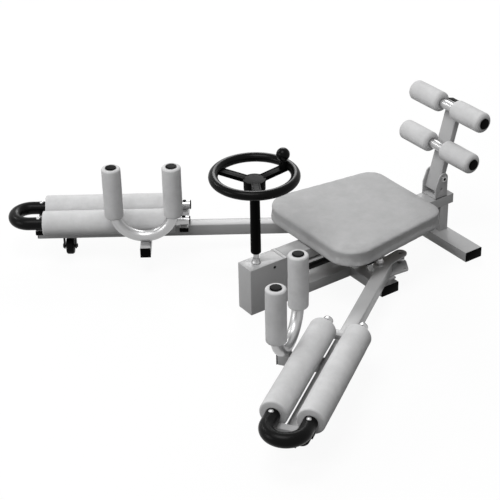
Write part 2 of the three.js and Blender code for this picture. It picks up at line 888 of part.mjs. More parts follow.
function cradlePath() {
  const place = (drop, across) => new THREE.Vector3(cradleS + across, -cradleT, cradlePadTopZ - drop);
  const direct = (along, across) => new THREE.Vector3(across, 0, -along);
  const bottomZ = cradleTubeTopZ + cradleSaddleHeight + fitGap + cradlePipeRadius;
  const bendDrop = cradlePadTopZ - bottomZ - cradleHalfSpacing;
  return hairpin(0, bendDrop, cradleHalfSpacing, place, direct);
}

// Radius of a faceted bore whose flats clear a round rod
function boreRadius(rodRadius, sides) {
  return (rodRadius + fitGap) / Math.cos(Math.PI / sides);
}

function legRoller(side) {
  const length = rollerOuterS - rollerInnerS;
  const bore = boreRadius(pipeRadius, padSides);
  const roller = turned(sleeveProfile(bore, rollerRadius, length, rollerEdge), padSides);
  roller.rotateY(Math.PI / 2);
  roller.translate(rollerInnerS, armMiddleY + side * rollerHalfSpacing, rollerAxisZ);
  return geometryOf(solid(roller));
}

function cradlePad(side) {
  const length = cradlePadTopZ - cradlePadBottomZ;
  const edge = cradlePadEdge;
  const pad = turned([
    [0, 0],
    [cradlePadRadius - edge, 0],
    [cradlePadRadius, edge],
    [cradlePadRadius, length - edge],
    [cradlePadRadius - edge, length],
    [0, length],
  ], padSides);
  pad.translate(cradleS + side * cradleHalfSpacing, -cradleT, cradlePadBottomZ);
  const core = solid(pipeAlong(cradlePath(), cradlePipeRadius + fitGap, 0));
  const topHole = rodZ(
    cradleS + side * cradleHalfSpacing,
    -cradleT,
    cradlePadTopZ - cradlePadEdge,
    cradlePadTopZ + overrun,
    cradlePipeRadius + fitGap,
  );
  return geometryOf(cut(solid(pad), core, topHole));
}

// Radius of a plug that clears the flats of a pipe's faceted bore
function plugRadius(pipeBore, sides) {
  return pipeBore * Math.cos(Math.PI / sides) - fitGap;
}

// Round plastic end cap with a plug, its flange standing on z = 0 and facing up
function roundCap(flangeRadius, coreRadius) {
  return turned([
    [0, -pipePlugDepth],
    [coreRadius, -pipePlugDepth],
    [coreRadius, 0],
    [flangeRadius, 0],
    [flangeRadius, pipeCapHeight / 2],
    [flangeRadius - pipeCapHeight / 2, pipeCapHeight],
    [0, pipeCapHeight],
  ]);
}

function cradleCap(side) {
  const cap = roundCap(cradlePipeRadius, plugRadius(cradlePipeRadius - pipeWall, pipeSides));
  cap.translate(cradleS + side * cradleHalfSpacing, -cradleT, cradlePadTopZ + fitGap);
  return geometryOf(solid(cap));
}

function cradleTubePlug() {
  const half = cradleTubeSize / 2;
  const inset = armBarWall + fitGap;
  const [innerS, outerS] = [cradleS - half, cradleS + half];
  const [bottomZ, topZ] = [cradleTubeBottomZ, cradleTubeTopZ];
  const outerY = -cradleTubeEndT - capFlange;
  return join(
    box(innerS, outerS, outerY, -cradleTubeEndT - fitGap, bottomZ, topZ),
    box(
      innerS + inset,
      outerS - inset,
      outerY,
      -cradleTubeEndT + plugDepth,
      bottomZ + inset,
      topZ - inset,
    ),
  );
}

// Arm pieces are built for the right arm, with x along it and y = -t, then mirrored for the left
function armPieces() {
  const pipeBore = pipeRadius - pipeWall;
  const gripStartS = rollerOuterS + gripStartGap;
  const hairpinTube = pipeAlong(rollerPath(pipeInnerS), pipeRadius, pipeBore);
  const grip = pipeAlong(rollerPath(gripStartS), gripRadius, pipeRadius + fitGap);
  const cradleTube = pipeAlong(cradlePath(), cradlePipeRadius, cradlePipeRadius - pipeWall);
  return [
    ["arm_frame", geometryOf(armFrame()), paint],
    ["roller_tube", geometryOf(solid(hairpinTube)), chrome],
    ["leg_roller_inner", legRoller(-1), foam],
    ["leg_roller_outer", legRoller(1), foam],
    ["end_grip", geometryOf(solid(grip)), blackFoam],
    ["cradle_tube", geometryOf(solid(cradleTube)), chrome],
    ["cradle_pad_front", cradlePad(1), foam],
    ["cradle_pad_rear", cradlePad(-1), foam],
    ["cradle_cap_front", cradleCap(1), plastic],
    ["cradle_cap_rear", cradleCap(-1), plastic],
    ["cradle_tube_plug", geometryOf(cradleTubePlug()), plastic],
    ["caster_wheel", casterWheel(), plastic],
  ];
}

function addArms() {
  const pieces = armPieces();
  const angle = THREE.MathUtils.degToRad(armAngle);
  for (const [name, side] of [["right", 1], ["left", -1]]) {
    const arm = new THREE.Group();
    arm.position.set(side * pivotX, pivotY, 0);
    arm.rotation.z = side * angle - Math.PI / 2;
    for (const [piece, geometry, material] of pieces) {
      addMesh(arm, `${name}_${piece}`, side > 0 ? geometry : mirroredInY(geometry), material);
    }
    machine.add(arm);
  }
}

// Rounded outline of the seat, wider in front, drawn in by an inset
function seatOutline(inset) {
  const [front, rear] = [seatFrontCornerRadius, seatRearCornerRadius];
  const corners = [
    [seatFrontHalfWidth - front, seatFrontY + front, front - inset],
    [seatRearHalfWidth - rear, seatRearY - rear, rear - inset],
  ];
  const circles = corners.flatMap(([x, y, radius]) => [[x, y, radius], [-x, y, radius]]);
  return bandShape(circles, seatCornerSides).getPoints();
}

// Stretches a turned disc to the seat's outline; a profile radius of 1 is the outline itself
function seatForm(profile, inset) {
  const outline = seatOutline(inset);
  const count = outline.length;
  const middleY = (seatFrontY + seatRearY) / 2;
  const geometry = turned(profile, count);
  const position = geometry.attributes.position;
  for (let i = 0; i < position.count; i += 1) {
    const x = position.getX(i);
    const y = position.getY(i);
    const share = Math.hypot(x, y);
    const turn = Math.atan2(y, x) / (Math.PI * 2);
    const point = outline[(Math.round(turn * count) + count) % count];
    position.setX(i, share * point.x);
    position.setY(i, middleY + share * (point.y - middleY));
  }
  return geometryOf(solid(geometry));
}

function addSeat() {
  const board = seatForm([[0, 0], [1, 0], [1, boardThickness], [0, boardThickness]], boardInset);
  board.translate(0, 0, frameHeight);
  addMesh(machine, "seat_board", board, plywood);

  const span = (seatFrontHalfWidth + seatRearHalfWidth) / 2;
  const edge = cushionEdge / span;
  const drawIn = cushionDrawIn / span;
  const top = cushionThickness - cushionCrown;
  const topShares = [0.9, 0.72, 0.5, 0.25];
  const profile = [
    [0, 0],
    [1 - edge, 0],
    [1 - edge / 3, cushionEdge / 3],
    [1, cushionEdge],
    [1 - drawIn, top / 2],
    [1, top - cushionEdge],
    [1 - edge * (1 - Math.cos(Math.PI / 6)), top - cushionEdge / 2],
    [1 - edge / 2, top - cushionEdge * (1 - Math.cos(Math.PI / 6))],
    [1 - edge, top],
  ];
  for (const share of topShares) profile.push([share, top + cushionCrown * (1 - share * share)]);
  profile.push([0, cushionThickness]);
  const cushion = seatForm(profile, 0);
  cushion.translate(0, 0, frameHeight + boardThickness + fitGap);
  addMesh(machine, "seat_cushion", cushion, vinyl);
}

// Side outline of the lever bracket's ear, as [distance behind the pivot, height above the rail]
function leverEarShape() {
  const rise = leverPivotZ - frameHeight;
  const shape = new THREE.Shape();
  shape.moveTo(-leverEarFront, 0);
  shape.lineTo(leverEarTopRadius, 0);
  shape.lineTo(leverEarTopRadius, rise);
  shape.absarc(0, rise, leverEarTopRadius, 0, Math.PI * 5 / 6, false);
  shape.lineTo(-leverEarFront, leverEarShoulder);
  shape.lineTo(-leverEarFront, 0);
  return shape;
}

function addLeverBracket() {
  const ears = [1, -1].map((side) => {
    const ear = plate(leverEarShape(), 0, leverEarThickness, roundSides / 3);
    ear.rotateX(Math.PI / 2);
    ear.rotateZ(Math.PI / 2);
    const x = side > 0 ? halfRail - leverEarThickness : -halfRail;
    ear.translate(x, leverPivotY, frameHeight);
    return solid(ear);
  });
  const base = box(
    -halfRail,
    halfRail,
    leverPivotY - leverEarFront,
    leverPivotY + leverEarTopRadius,
    frameHeight,
    frameHeight + leverBasePlate,
  );
  const reach = halfRail + overrun;
  const [lockY, lockZ] = [leverPivotY - leverLockForward, leverPivotZ - leverLockBelow];
  const bracket = cut(
    join(base, ...ears),
    rodX(-reach, reach, leverPivotY, leverPivotZ, leverPinRadius + fitGap),
    rodX(-reach, reach, lockY, lockZ, leverLockRadius),
  );
  addMesh(machine, "lever_bracket", bracket, paint);

  const pinHead = halfRail + fitGap;
  const bolt = join(
    rodX(-pinHead, pinHead, leverPivotY, leverPivotZ, leverPinRadius),
    rodX(pinHead, pinHead + leverHeadLength, leverPivotY, leverPivotZ, leverHeadRadius),
    rodX(-pinHead - leverHeadLength, -pinHead, leverPivotY, leverPivotZ, leverHeadRadius, 6),
  );
  addMesh(machine, "lever_pivot_bolt", bolt, steel);
}

// The lever group: z runs up the lever from its pivot, y is behind it
function addBackLever() {
  const lever = new THREE.Group();
  lever.position.set(0, leverPivotY, leverPivotZ);
  lever.rotation.x = -THREE.MathUtils.degToRad(leverTilt);
  const halfWidth = leverWidth / 2;
  const halfDepth = leverDepth / 2;
  const tube = box(-halfWidth, halfWidth, -halfDepth, halfDepth, -leverBelowPivot, leverAbovePivot);
  const hollow = box(
    -halfWidth + leverWall,
    halfWidth - leverWall,
    -halfDepth + leverWall,
    halfDepth - leverWall,
    -leverBelowPivot - overrun,
    leverAbovePivot + overrun,
  );
  const bore = rodX(-halfWidth - overrun, halfWidth + overrun, 0, 0, leverPinRadius + fitGap);
  addMesh(lever, "back_lever", cut(tube, hollow, bore), paint);

  const inset = leverWall + fitGap;
  const cap = join(
    box(-halfWidth, halfWidth, -halfDepth, halfDepth, leverAbovePivot + fitGap, leverAbovePivot + capFlange),
    box(
      -halfWidth + inset,
      halfWidth - inset,
      -halfDepth + inset,
      halfDepth - inset,
      leverAbovePivot - plugDepth,
      leverAbovePivot + capFlange,
    ),
  );
  addMesh(lever, "lever_cap", cap, plastic);
  addBackBar(lever, "upper", upperBarAlong);
  addBackBar(lever, "lower", lowerBarAlong);
  machine.add(lever);
}

function addBackBar(lever, level, along) {
  const axisY = -leverDepth / 2 - backBarRadius - fitGap;
  const half = backBarHalfLength;
  const padStart = leverWidth / 2 + backPadFromLever;
  const hollow = rodX(-half - overrun, half + overrun, axisY, along, backBarRadius - backBarWall);
  const bar = cut(rodX(-half, half, axisY, along, backBarRadius), hollow);
  addMesh(lever, `back_bar_${level}`, bar, chrome);
  for (const [name, side] of [["right", 1], ["left", -1]]) {
    const length = half - padStart;
    const bore = boreRadius(backBarRadius, padSides);
    const pad = turned(sleeveProfile(bore, backPadRadius, length, backPadEdge), padSides);
    pad.rotateY(side * Math.PI / 2);
    pad.translate(side * padStart, axisY, along);
    addMesh(lever, `back_pad_${level}_${name}`, geometryOf(solid(pad)), foam);
    const cap = roundCap(backCapRadius, plugRadius(backBarRadius - backBarWall, roundSides));
    cap.rotateY(side * Math.PI / 2);
    cap.translate(side * (half + fitGap), axisY, along);
    addMesh(lever, `back_cap_${level}_${name}`, geometryOf(solid(cap)), plastic);
  }
}

addRails();
addRearFoot();
addFrontFeet();
addGearbox();
addDrive();
addHandwheel();
addCrosshead();
addLinks();
addArms();
addSeat();
addLeverBracket();
addBackLever();

export default machine;
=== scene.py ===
import math

import bmesh
import bpy
from mathutils import Matrix, Vector, noise


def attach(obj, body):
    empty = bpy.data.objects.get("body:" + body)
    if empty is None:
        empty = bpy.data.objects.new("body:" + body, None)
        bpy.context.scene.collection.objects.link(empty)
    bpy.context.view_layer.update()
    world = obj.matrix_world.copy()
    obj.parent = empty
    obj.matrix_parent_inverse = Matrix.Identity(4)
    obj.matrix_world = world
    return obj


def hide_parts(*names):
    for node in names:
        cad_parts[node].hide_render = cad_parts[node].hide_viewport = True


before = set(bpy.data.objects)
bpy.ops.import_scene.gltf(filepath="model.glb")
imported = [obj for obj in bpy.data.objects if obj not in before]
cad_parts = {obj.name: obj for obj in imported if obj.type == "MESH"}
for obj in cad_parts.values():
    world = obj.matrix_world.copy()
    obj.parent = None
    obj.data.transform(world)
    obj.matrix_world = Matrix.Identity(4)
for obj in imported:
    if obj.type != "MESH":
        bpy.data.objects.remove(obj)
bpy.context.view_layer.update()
scene = bpy.context.scene
mm = 0.001
sides = (("right", 1), ("left", -1))
print("frame loaded:", len(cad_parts), "nodes")


# camera, light and floor

studio = {
    "cameraPlace": (2.9136, -2.3555, 2.29654),
    "azimuth": 55.53143,
    "elevation": 30.80815,
    "roll": 1.29657,
    "focalPixels": 1517.919,
    "framePixels": 500,
    "sensor": 36.0,
    "farthest": 60.0,
    "white": (1.0, 1.0, 1.0, 1.0),
    "worldLight": 0.33,
    "lampAim": (0.0, -0.15, 0.1),
    "lamps": {
        "topLamp": {"place": (0.6, -1.6, 3.8), "size": 2.0, "power": 92.0},
        "rearLamp": {"place": (-2.83, 1.94, 2.05), "size": 1.5, "power": 66.0},
        "sideLamp": {"place": (-2.8, -1.6, 2.3), "size": 0.45, "power": 18.0},
        "frontLamp": {"place": (-0.8, -4.0, 1.3), "size": 1.4, "power": 32.0},
    },
    "floorHalf": 12.0,
    "floorShadow": 0.07,
    "floorSeen": (0.90, 0.90, 0.90, 1.0),
    "floorBounce": (0.15, 0.15, 0.15, 1.0),
}


def makeCamera():
    azimuth = math.radians(studio["azimuth"])
    elevation = math.radians(studio["elevation"])
    roll = math.radians(studio["roll"])
    back = Vector((
        math.sin(azimuth) * math.cos(elevation),
        -math.cos(azimuth) * math.cos(elevation),
        math.sin(elevation),
    ))
    level = Vector((math.cos(azimuth), math.sin(azimuth), 0.0))
    upright = back.cross(level)
    right = math.cos(roll) * level - math.sin(roll) * upright
    up = math.sin(roll) * level + math.cos(roll) * upright
    data = bpy.data.cameras.new("photoCamera")
    data.sensor_fit = "HORIZONTAL"
    data.sensor_width = studio["sensor"]
    data.lens = studio["focalPixels"] / studio["framePixels"] * studio["sensor"]
    data.clip_end = studio["farthest"]
    camera = bpy.data.objects.new("photoCamera", data)
    scene.collection.objects.link(camera)
    turn = Matrix((right, up, back)).transposed().to_4x4()
    camera.matrix_world = Matrix.Translation(studio["cameraPlace"]) @ turn
    scene.camera = camera


def areaLamp(name, place, size, power):
    data = bpy.data.lights.new(name, "AREA")
    data.size = size
    data.energy = power
    lamp = bpy.data.objects.new(name, data)
    scene.collection.objects.link(lamp)
    aim = Vector(studio["lampAim"]) - Vector(place)
    lamp.matrix_world = Matrix.Translation(place) @ aim.to_track_quat("-Z", "Y").to_matrix().to_4x4()


def addNode(nodes, kind, values):
    node = nodes.new(kind)
    for label, value in values.items():
        node.inputs[label].default_value = value
    return node


def whereSeen(nodes, links):
    # 1 for camera, glossy and transmission rays, 0 for the rays that carry light
    path = nodes.new("ShaderNodeLightPath")
    seen = path.outputs["Is Camera Ray"]
    for kind in ("Is Glossy Ray", "Is Transmission Ray"):
        either = nodes.new("ShaderNodeMath")
        either.operation = "MAXIMUM"
        links.new(seen, either.inputs[0])
        links.new(path.outputs[kind], either.inputs[1])
        seen = either.outputs[0]
    return seen


def showWhite(nodes, links, lit, seen, out):
    # the object is lit by one shader, and the other is what shows behind it and in its gloss
    pick = nodes.new("ShaderNodeMixShader")
    links.new(whereSeen(nodes, links), pick.inputs["Fac"])
    links.new(lit.outputs[0], pick.inputs[1])
    links.new(seen.outputs[0], pick.inputs[2])
    links.new(pick.outputs[0], out.inputs["Surface"])


def makeWorld():
    world = bpy.data.worlds.new("studioWorld")
    scene.world = world
    world.use_nodes = True
    nodes, links = world.node_tree.nodes, world.node_tree.links
    nodes.clear()
    lit = addNode(nodes, "ShaderNodeBackground", {"Color": studio["white"], "Strength": studio["worldLight"]})
    seen = addNode(nodes, "ShaderNodeBackground", {"Color": studio["white"]})
    showWhite(nodes, links, lit, seen, nodes.new("ShaderNodeOutputWorld"))


def makeFloor():
    half = studio["floorHalf"]
    mesh = bpy.data.meshes.new("studioFloor")
    corners = [(-half, -half, 0), (half, -half, 0), (half, half, 0), (-half, half, 0)]
    mesh.from_pydata(corners, [], [(0, 1, 2, 3)])
    floor = bpy.data.objects.new("studioFloor", mesh)
    scene.collection.objects.link(floor)
    material = bpy.data.materials.new("floorWhite")
    material.use_nodes = True
    nodes, links = material.node_tree.nodes, material.node_tree.links
    nodes.clear()
    matt = addNode(nodes, "ShaderNodeBsdfDiffuse", {"Color": studio["floorSeen"]})
    dim = addNode(nodes, "ShaderNodeBsdfDiffuse", {"Color": studio["floorBounce"]})
    glow = addNode(nodes, "ShaderNodeEmission", {"Color": studio["white"]})
    shade = addNode(nodes, "ShaderNodeMixShader", {"Fac": studio["floorShadow"]})
    links.new(glow.outputs[0], shade.inputs[1])
    links.new(matt.outputs[0], shade.inputs[2])
    showWhite(nodes, links, dim, shade, nodes.new("ShaderNodeOutputMaterial"))
    mesh.materials.append(material)


scene.view_settings.view_transform = "Standard"
makeCamera()
makeWorld()
makeFloor()
for lampName, lamp in studio["lamps"].items():
    areaLamp(lampName, lamp["place"], lamp["size"], lamp["power"])
print("camera, light and floor set")


# finishes

def finishOf(colour, metallic, roughness, gloss, mottle, grain, bump):
    return {"colour": colour, "metallic": metallic, "roughness": roughness, "gloss": gloss,
            "mottle": mottle, "grain": grain, "bump": bump}


finishes = {
    "framePaint": finishOf(0.44, 0.0, 0.26, 0.10, 0.02, 900.0, 0.03),
    "chromePlate": finishOf(0.42, 0.95, 0.34, 0.5, 0.02, 260.0, 0.0),
    "zincSteel": finishOf(0.30, 1.0, 0.34, 0.5, 0.08, 700.0, 0.05),
    "oiledSteel": finishOf(0.012, 0.3, 0.38, 0.10, 0.25, 600.0, 0.05),
    "greyFoam": finishOf(0.59, 0.0, 0.92, 0.08, 0.07, 1300.0, 0.35),
    "blackFoam": finishOf(0.003, 0.0, 0.30, 0.08, 0.20, 1100.0, 0.12),
    "seatCover": finishOf(0.42, 0.0, 0.70, 0.10, 0.07, 650.0, 0.35),
    "glossBlack": finishOf(0.002, 0.0, 0.27, 0.07, 0.10, 1500.0, 0.04),
    "blackPlastic": finishOf(0.002, 0.0, 0.40, 0.02, 0.10, 1500.0, 0.06),
    "blackRubber": finishOf(0.004, 0.0, 0.50, 0.06, 0.15, 1200.0, 0.10),
    "plywood": finishOf(0.30, 0.0, 0.72, 0.2, 0.10, 300.0, 0.15),
}
grainKind = {"seatCover": "leather", "greyFoam": "pores", "blackFoam": "pores", "plywood": "wood"}
surface = {
    "cloud": {"Scale": 22.0, "Detail": 9.0, "Roughness": 0.72}, "cloudRange": (0.34, 0.66),
    "creaseWidth": 0.12, "woodStretch": (1.0, 0.05, 1.0), "peelDetail": 3.0, "roughSpread": 0.15,
    "reliefDepth": 0.0006, "woodTint": (1.0, 0.82, 0.62), "greyTint": (1.0, 1.0, 1.005),
    "sheen": 0.05, "sheenRoughness": 0.4,
}


def mottledColour(nodes, links, place, look, shader, tint):
    # a faint change of tone over the surface, slow with a finer speckle in it
    cloud = addNode(nodes, "ShaderNodeTexNoise", surface["cloud"])
    links.new(place, cloud.inputs["Vector"])
    ramp = nodes.new("ShaderNodeValToRGB")
    for element, position, way in zip(ramp.color_ramp.elements, surface["cloudRange"], (-1, 1)):
        element.position = position
        tone = look["colour"] * (1 + way * look["mottle"])
        element.color = [min(1, tone * c) for c in tint] + [1]
    links.new(cloud.outputs["Fac"], ramp.inputs["Fac"])
    links.new(ramp.outputs["Color"], shader.inputs["Base Color"])
    return cloud


def grainHeight(nodes, links, place, look, kind):
    # fine relief: paint peel, foam pores, leather creases or wood fibre
    if kind in ("leather", "pores"):
        cells = addNode(nodes, "ShaderNodeTexVoronoi", {"Scale": look["grain"]})
        if kind == "leather":
            cells.feature = "DISTANCE_TO_EDGE"
        links.new(place, cells.inputs["Vector"])
        if kind == "pores":
            return cells.outputs["Distance"]
        soften = addNode(nodes, "ShaderNodeMapRange", {"From Max": surface["creaseWidth"]})
        links.new(cells.outputs["Distance"], soften.inputs["Value"])
        return soften.outputs["Result"]
    if kind == "wood":
        stretch = addNode(nodes, "ShaderNodeMapping", {"Scale": surface["woodStretch"]})
        links.new(place, stretch.inputs["Vector"])
        place = stretch.outputs["Vector"]
    fine = addNode(nodes, "ShaderNodeTexNoise", {"Scale": look["grain"], "Detail": surface["peelDetail"]})
    links.new(place, fine.inputs["Vector"])
    return fine.outputs["Fac"]


def makeFinish(name):
    look = finishes[name]
    material = bpy.data.materials.new(name)
    material.use_nodes = True
    nodes, links = material.node_tree.nodes, material.node_tree.links
    shader = nodes["Principled BSDF"]
    shader.inputs["Metallic"].default_value = look["metallic"]
    shader.inputs["Specular IOR Level"].default_value = look["gloss"]
    place = nodes.new("ShaderNodeTexCoord").outputs["Object"]
    kind = grainKind.get(name, "peel")
    tint = surface["woodTint"] if kind == "wood" else surface["greyTint"]
    cloud = mottledColour(nodes, links, place, look, shader, tint)
    spread = addNode(nodes, "ShaderNodeMapRange", {
        "To Min": look["roughness"] * (1 - surface["roughSpread"]),
        "To Max": look["roughness"] * (1 + surface["roughSpread"]),
    })
    links.new(cloud.outputs["Fac"], spread.inputs["Value"])
    links.new(spread.outputs["Result"], shader.inputs["Roughness"])
    relief = addNode(nodes, "ShaderNodeBump", {"Strength": look["bump"], "Distance": surface["reliefDepth"]})
    links.new(grainHeight(nodes, links, place, look, kind), relief.inputs["Height"])
    links.new(relief.outputs["Normal"], shader.inputs["Normal"])
    if name == "seatCover":
        shader.inputs["Sheen Weight"].default_value = surface["sheen"]
        shader.inputs["Sheen Roughness"].default_value = surface["sheenRoughness"]
    return material


finish = {name: makeFinish(name) for name in finishes}
print("finishes made:", len(finish))


# shapes in millimetres

tiny = 1e-6  # points nearer than this are one point
levelGap = 1e-5  # an edge that climbs less than this lies level
cornerShare = 0.48  # a rounding takes less than half of a line's shorter stretch
rimAngle = 1.0  # radians at a plate's rim
solidAngle = math.radians(40)  # a sharper edge of a CAD solid is rounded
flatAngle = math.radians(1)  # facets that meet flatter than this are joined first


def circlePoints(radius, steps, x=0.0, y=0.0):
    turns = [i / steps * math.tau for i in range(steps)]
    return [(x + radius * math.cos(turn), y + radius * math.sin(turn)) for turn in turns]


def domeLine(radius, base, height, steps):
    # a quarter ellipse over a rim, without the rim and the top
    turns = [i / steps * math.pi / 2 for i in range(1, steps)]
    return [(radius * math.cos(turn), base + height * math.sin(turn)) for turn in turns]


def softProfile(corners, edge, steps=4):
    # rounds every inner corner of a [radius, height] line
    line = [corners[0]]
    for before, here, after in zip(corners, corners[1:], corners[2:]):
        before, point, after = Vector(before), Vector(here), Vector(after)
        reach = min(edge, (before - point).length * cornerShare, (after - point).length * cornerShare)
        start = point + (before - point).normalized() * reach
        end = point + (after - point).normalized() * reach
        for i in range(steps + 1):
            share = i / steps
            line.append(tuple(start * (1 - share) ** 2 + point * 2 * share * (1 - share) + end * share ** 2))
    line.append(corners[-1])
    return line


def bridgeRings(shape, rings):
    # quads from ring to ring, and triangles where a ring is a single pole
    for low, high in zip(rings, rings[1:]):
        for i in range(max(len(low), len(high))):
            spots = [(low, i), (low, i + 1), (high, i + 1), (high, i)]
            corners = list(dict.fromkeys(ring[k % len(ring)] for ring, k in spots))
            if len(corners) > 2:
                shape.faces.new(corners)


def addLathe(shape, profile, place=Matrix(), steps=48):
    rings = []
    for radius, height in profile:
        around = circlePoints(radius, steps) if radius > tiny else [(0, 0)]
        rings.append([shape.verts.new(place @ Vector((x, y, height))) for x, y in around])
    if profile[0] == profile[-1] and profile[0][0] > tiny:
        for spare in rings[-1]:
            shape.verts.remove(spare)
        rings[-1] = rings[0]
    bridgeRings(shape, rings)


def addTurned(shape, corners, edge, place=Matrix(), steps=48):
    # a turned part with every corner of its line rounded
    addLathe(shape, softProfile(corners, edge), place, steps)


def sharpEdges(shape, angle):
    return [e for e in shape.edges if len(e.link_faces) == 2 and e.calc_face_angle(0) > angle]


def bevelEdges(shape, edges, offset, segments, clamp=False):
    return bmesh.ops.bevel(
        shape, geom=edges, offset=offset, segments=segments, profile=0.5, affect="EDGES", clamp_overlap=clamp
    )


def addBox(shape, low, high, edge, place=Matrix()):
    verts = bmesh.ops.create_cube(shape, size=1.0)["verts"]
    size = [b - a for a, b in zip(low, high)]
    middle = [(a + b) / 2 for a, b in zip(low, high)]
    for vert in verts:
        vert.co = Vector([c * s + m for c, s, m in zip(vert.co, size, middle)])
    edges = list({e for vert in verts for e in vert.link_edges})
    rounded = bevelEdges(shape, edges, edge, 3)
    made = {v for f in rounded["faces"] for v in f.verts}
    bmesh.ops.transform(shape, matrix=place, verts=list(made))


def addBoxes(shape, boxes):
    for low, high, edge in boxes:
        addBox(shape, low, high, edge)


def meshOf(shape, name):
    mesh = bpy.data.meshes.new(name)
    shape.to_mesh(mesh)
    shape.free()
    return mesh


def addPlate(shape, outline, low, high, holes=(), edge=0.6, place=Matrix()):
    # a flat plate with round holes and softened rims
    draft = bmesh.new()
    for loop in [outline] + [circlePoints(radius, 32, x, y) for x, y, radius in holes]:
        corners = [draft.verts.new((x, y, low)) for x, y in loop]
        for i, corner in enumerate(corners):
            draft.edges.new((corners[i - 1], corner))
    bmesh.ops.triangle_fill(draft, use_beauty=True, edges=draft.edges[:], normal=(0, 0, 1))
    raised = bmesh.ops.extrude_face_region(draft, geom=draft.faces[:], use_keep_orig=True)
    lifted = [g for g in raised["geom"] if isinstance(g, bmesh.types.BMVert)]
    bmesh.ops.translate(draft, vec=(0, 0, high - low), verts=lifted)
    bmesh.ops.recalc_face_normals(draft, faces=draft.faces[:])
    rims = [e for e in sharpEdges(draft, rimAngle) if abs(e.verts[0].co.z - e.verts[1].co.z) < levelGap]
    bevelEdges(draft, rims, edge, 2)
    bmesh.ops.transform(draft, matrix=place, verts=draft.verts[:])
    mesh = meshOf(draft, "draft")
    shape.from_mesh(mesh)
    bpy.data.meshes.remove(mesh)


def hullOf(circles, steps=48):
    # a rubber band round [x, y, radius] circles, anticlockwise
    cloud = sorted(point for x, y, radius in circles for point in circlePoints(radius, steps, x, y))

    def turnsLeft(a, b, c):
        return (b[0] - a[0]) * (c[1] - a[1]) > (b[1] - a[1]) * (c[0] - a[0])

    def half(points):
        chain = []
        for point in points:
            while len(chain) > 1 and not turnsLeft(chain[-2], chain[-1], point):
                chain.pop()
            chain.append(point)
        return chain[:-1]

    return half(cloud) + half(cloud[::-1])


def weld(shape):
    bmesh.ops.remove_doubles(shape, verts=shape.verts[:], dist=tiny)
    bmesh.ops.recalc_face_normals(shape, faces=shape.faces[:])


def finishPiece(shape, name, look, body, nodes=(), place=Matrix(), flip=False, crease=35):
    # places a piece, scales it to metres, welds and dresses it, and hangs it on its body
    bmesh.ops.transform(shape, matrix=place, verts=shape.verts[:])
    bmesh.ops.scale(shape, vec=(-mm if flip else mm, mm, mm), verts=shape.verts[:])
    weld(shape)
    return dressMesh(meshOf(shape, name), name, look, body, nodes, crease)


def dressMesh(mesh, name, look, body, nodes=(), crease=35):
    mesh.shade_smooth()
    mesh.set_sharp_from_angle(angle=math.radians(crease))
    mesh.materials.clear()
    mesh.materials.append(finish[look])
    piece = bpy.data.objects.new(name, mesh)
    scene.collection.objects.link(piece)
    if nodes:
        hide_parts(*nodes)
    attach(piece, body)
    return piece


def softenedNode(node, name, look, body, edge, keep=None):
    # the CAD solid with its sharp edges rounded, or the part of it that keep picks
    shape = bmesh.new()
    shape.from_mesh(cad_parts[node].data)
    bmesh.ops.remove_doubles(shape, verts=shape.verts[:], dist=2 * tiny)
    if keep is not None:
        gone = [v for v in shape.verts if not keep(v.co / mm)]
        bmesh.ops.delete(shape, geom=gone, context="VERTS")
        loose = [e for e in shape.edges if len(e.link_faces) == 1]
        bmesh.ops.holes_fill(shape, edges=loose, sides=0)
    bmesh.ops.dissolve_limit(
        shape, angle_limit=flatAngle, verts=shape.verts[:], edges=shape.edges[:],
        use_dissolve_boundaries=False,
    )
    bevelEdges(shape, sharpEdges(shape, solidAngle), edge * mm, 3, clamp=True)
    bmesh.ops.triangulate(shape, faces=shape.faces[:])
    return dressMesh(meshOf(shape, name), name, look, body, (node,))


# trees for what follows a line or repeats

def newTree(name, inputs):
    tree = bpy.data.node_groups.new(name, "GeometryNodeTree")
    for label, kind in inputs.items():
        tree.interface.new_socket(label, in_out="INPUT", socket_type=kind)
    tree.interface.new_socket("Made", in_out="OUTPUT", socket_type="NodeSocketGeometry")
    return tree, tree.nodes.new("NodeGroupInput"), tree.nodes.new("NodeGroupOutput")


def endTree(tree, source, given, result):
    real = tree.nodes.new("GeometryNodeRealizeInstances")
    dress = tree.nodes.new("GeometryNodeSetMaterial")
    tree.links.new(source, real.inputs[0])
    tree.links.new(real.outputs[0], dress.inputs["Geometry"])
    tree.links.new(given.outputs["Finish"], dress.inputs["Material"])
    tree.links.new(dress.outputs[0], result.inputs[0])


def makeTubeTree():
    tree, given, result = newTree("tubeAlongLine", {
        "Line": "NodeSocketGeometry", "Radius": "NodeSocketFloat", "Sides": "NodeSocketInt",
        "Finish": "NodeSocketMaterial",
    })
    curve = tree.nodes.new("GeometryNodeMeshToCurve")
    ring = tree.nodes.new("GeometryNodeCurvePrimitiveCircle")
    sweep = tree.nodes.new("GeometryNodeCurveToMesh")
    sweep.inputs["Fill Caps"].default_value = True
    tree.links.new(given.outputs["Line"], curve.inputs["Mesh"])
    tree.links.new(given.outputs["Radius"], ring.inputs["Radius"])
    tree.links.new(given.outputs["Sides"], ring.inputs["Resolution"])
    tree.links.new(curve.outputs["Curve"], sweep.inputs["Curve"])
    tree.links.new(ring.outputs["Curve"], sweep.inputs["Profile Curve"])
    endTree(tree, sweep.outputs["Mesh"], given, result)
    return tree


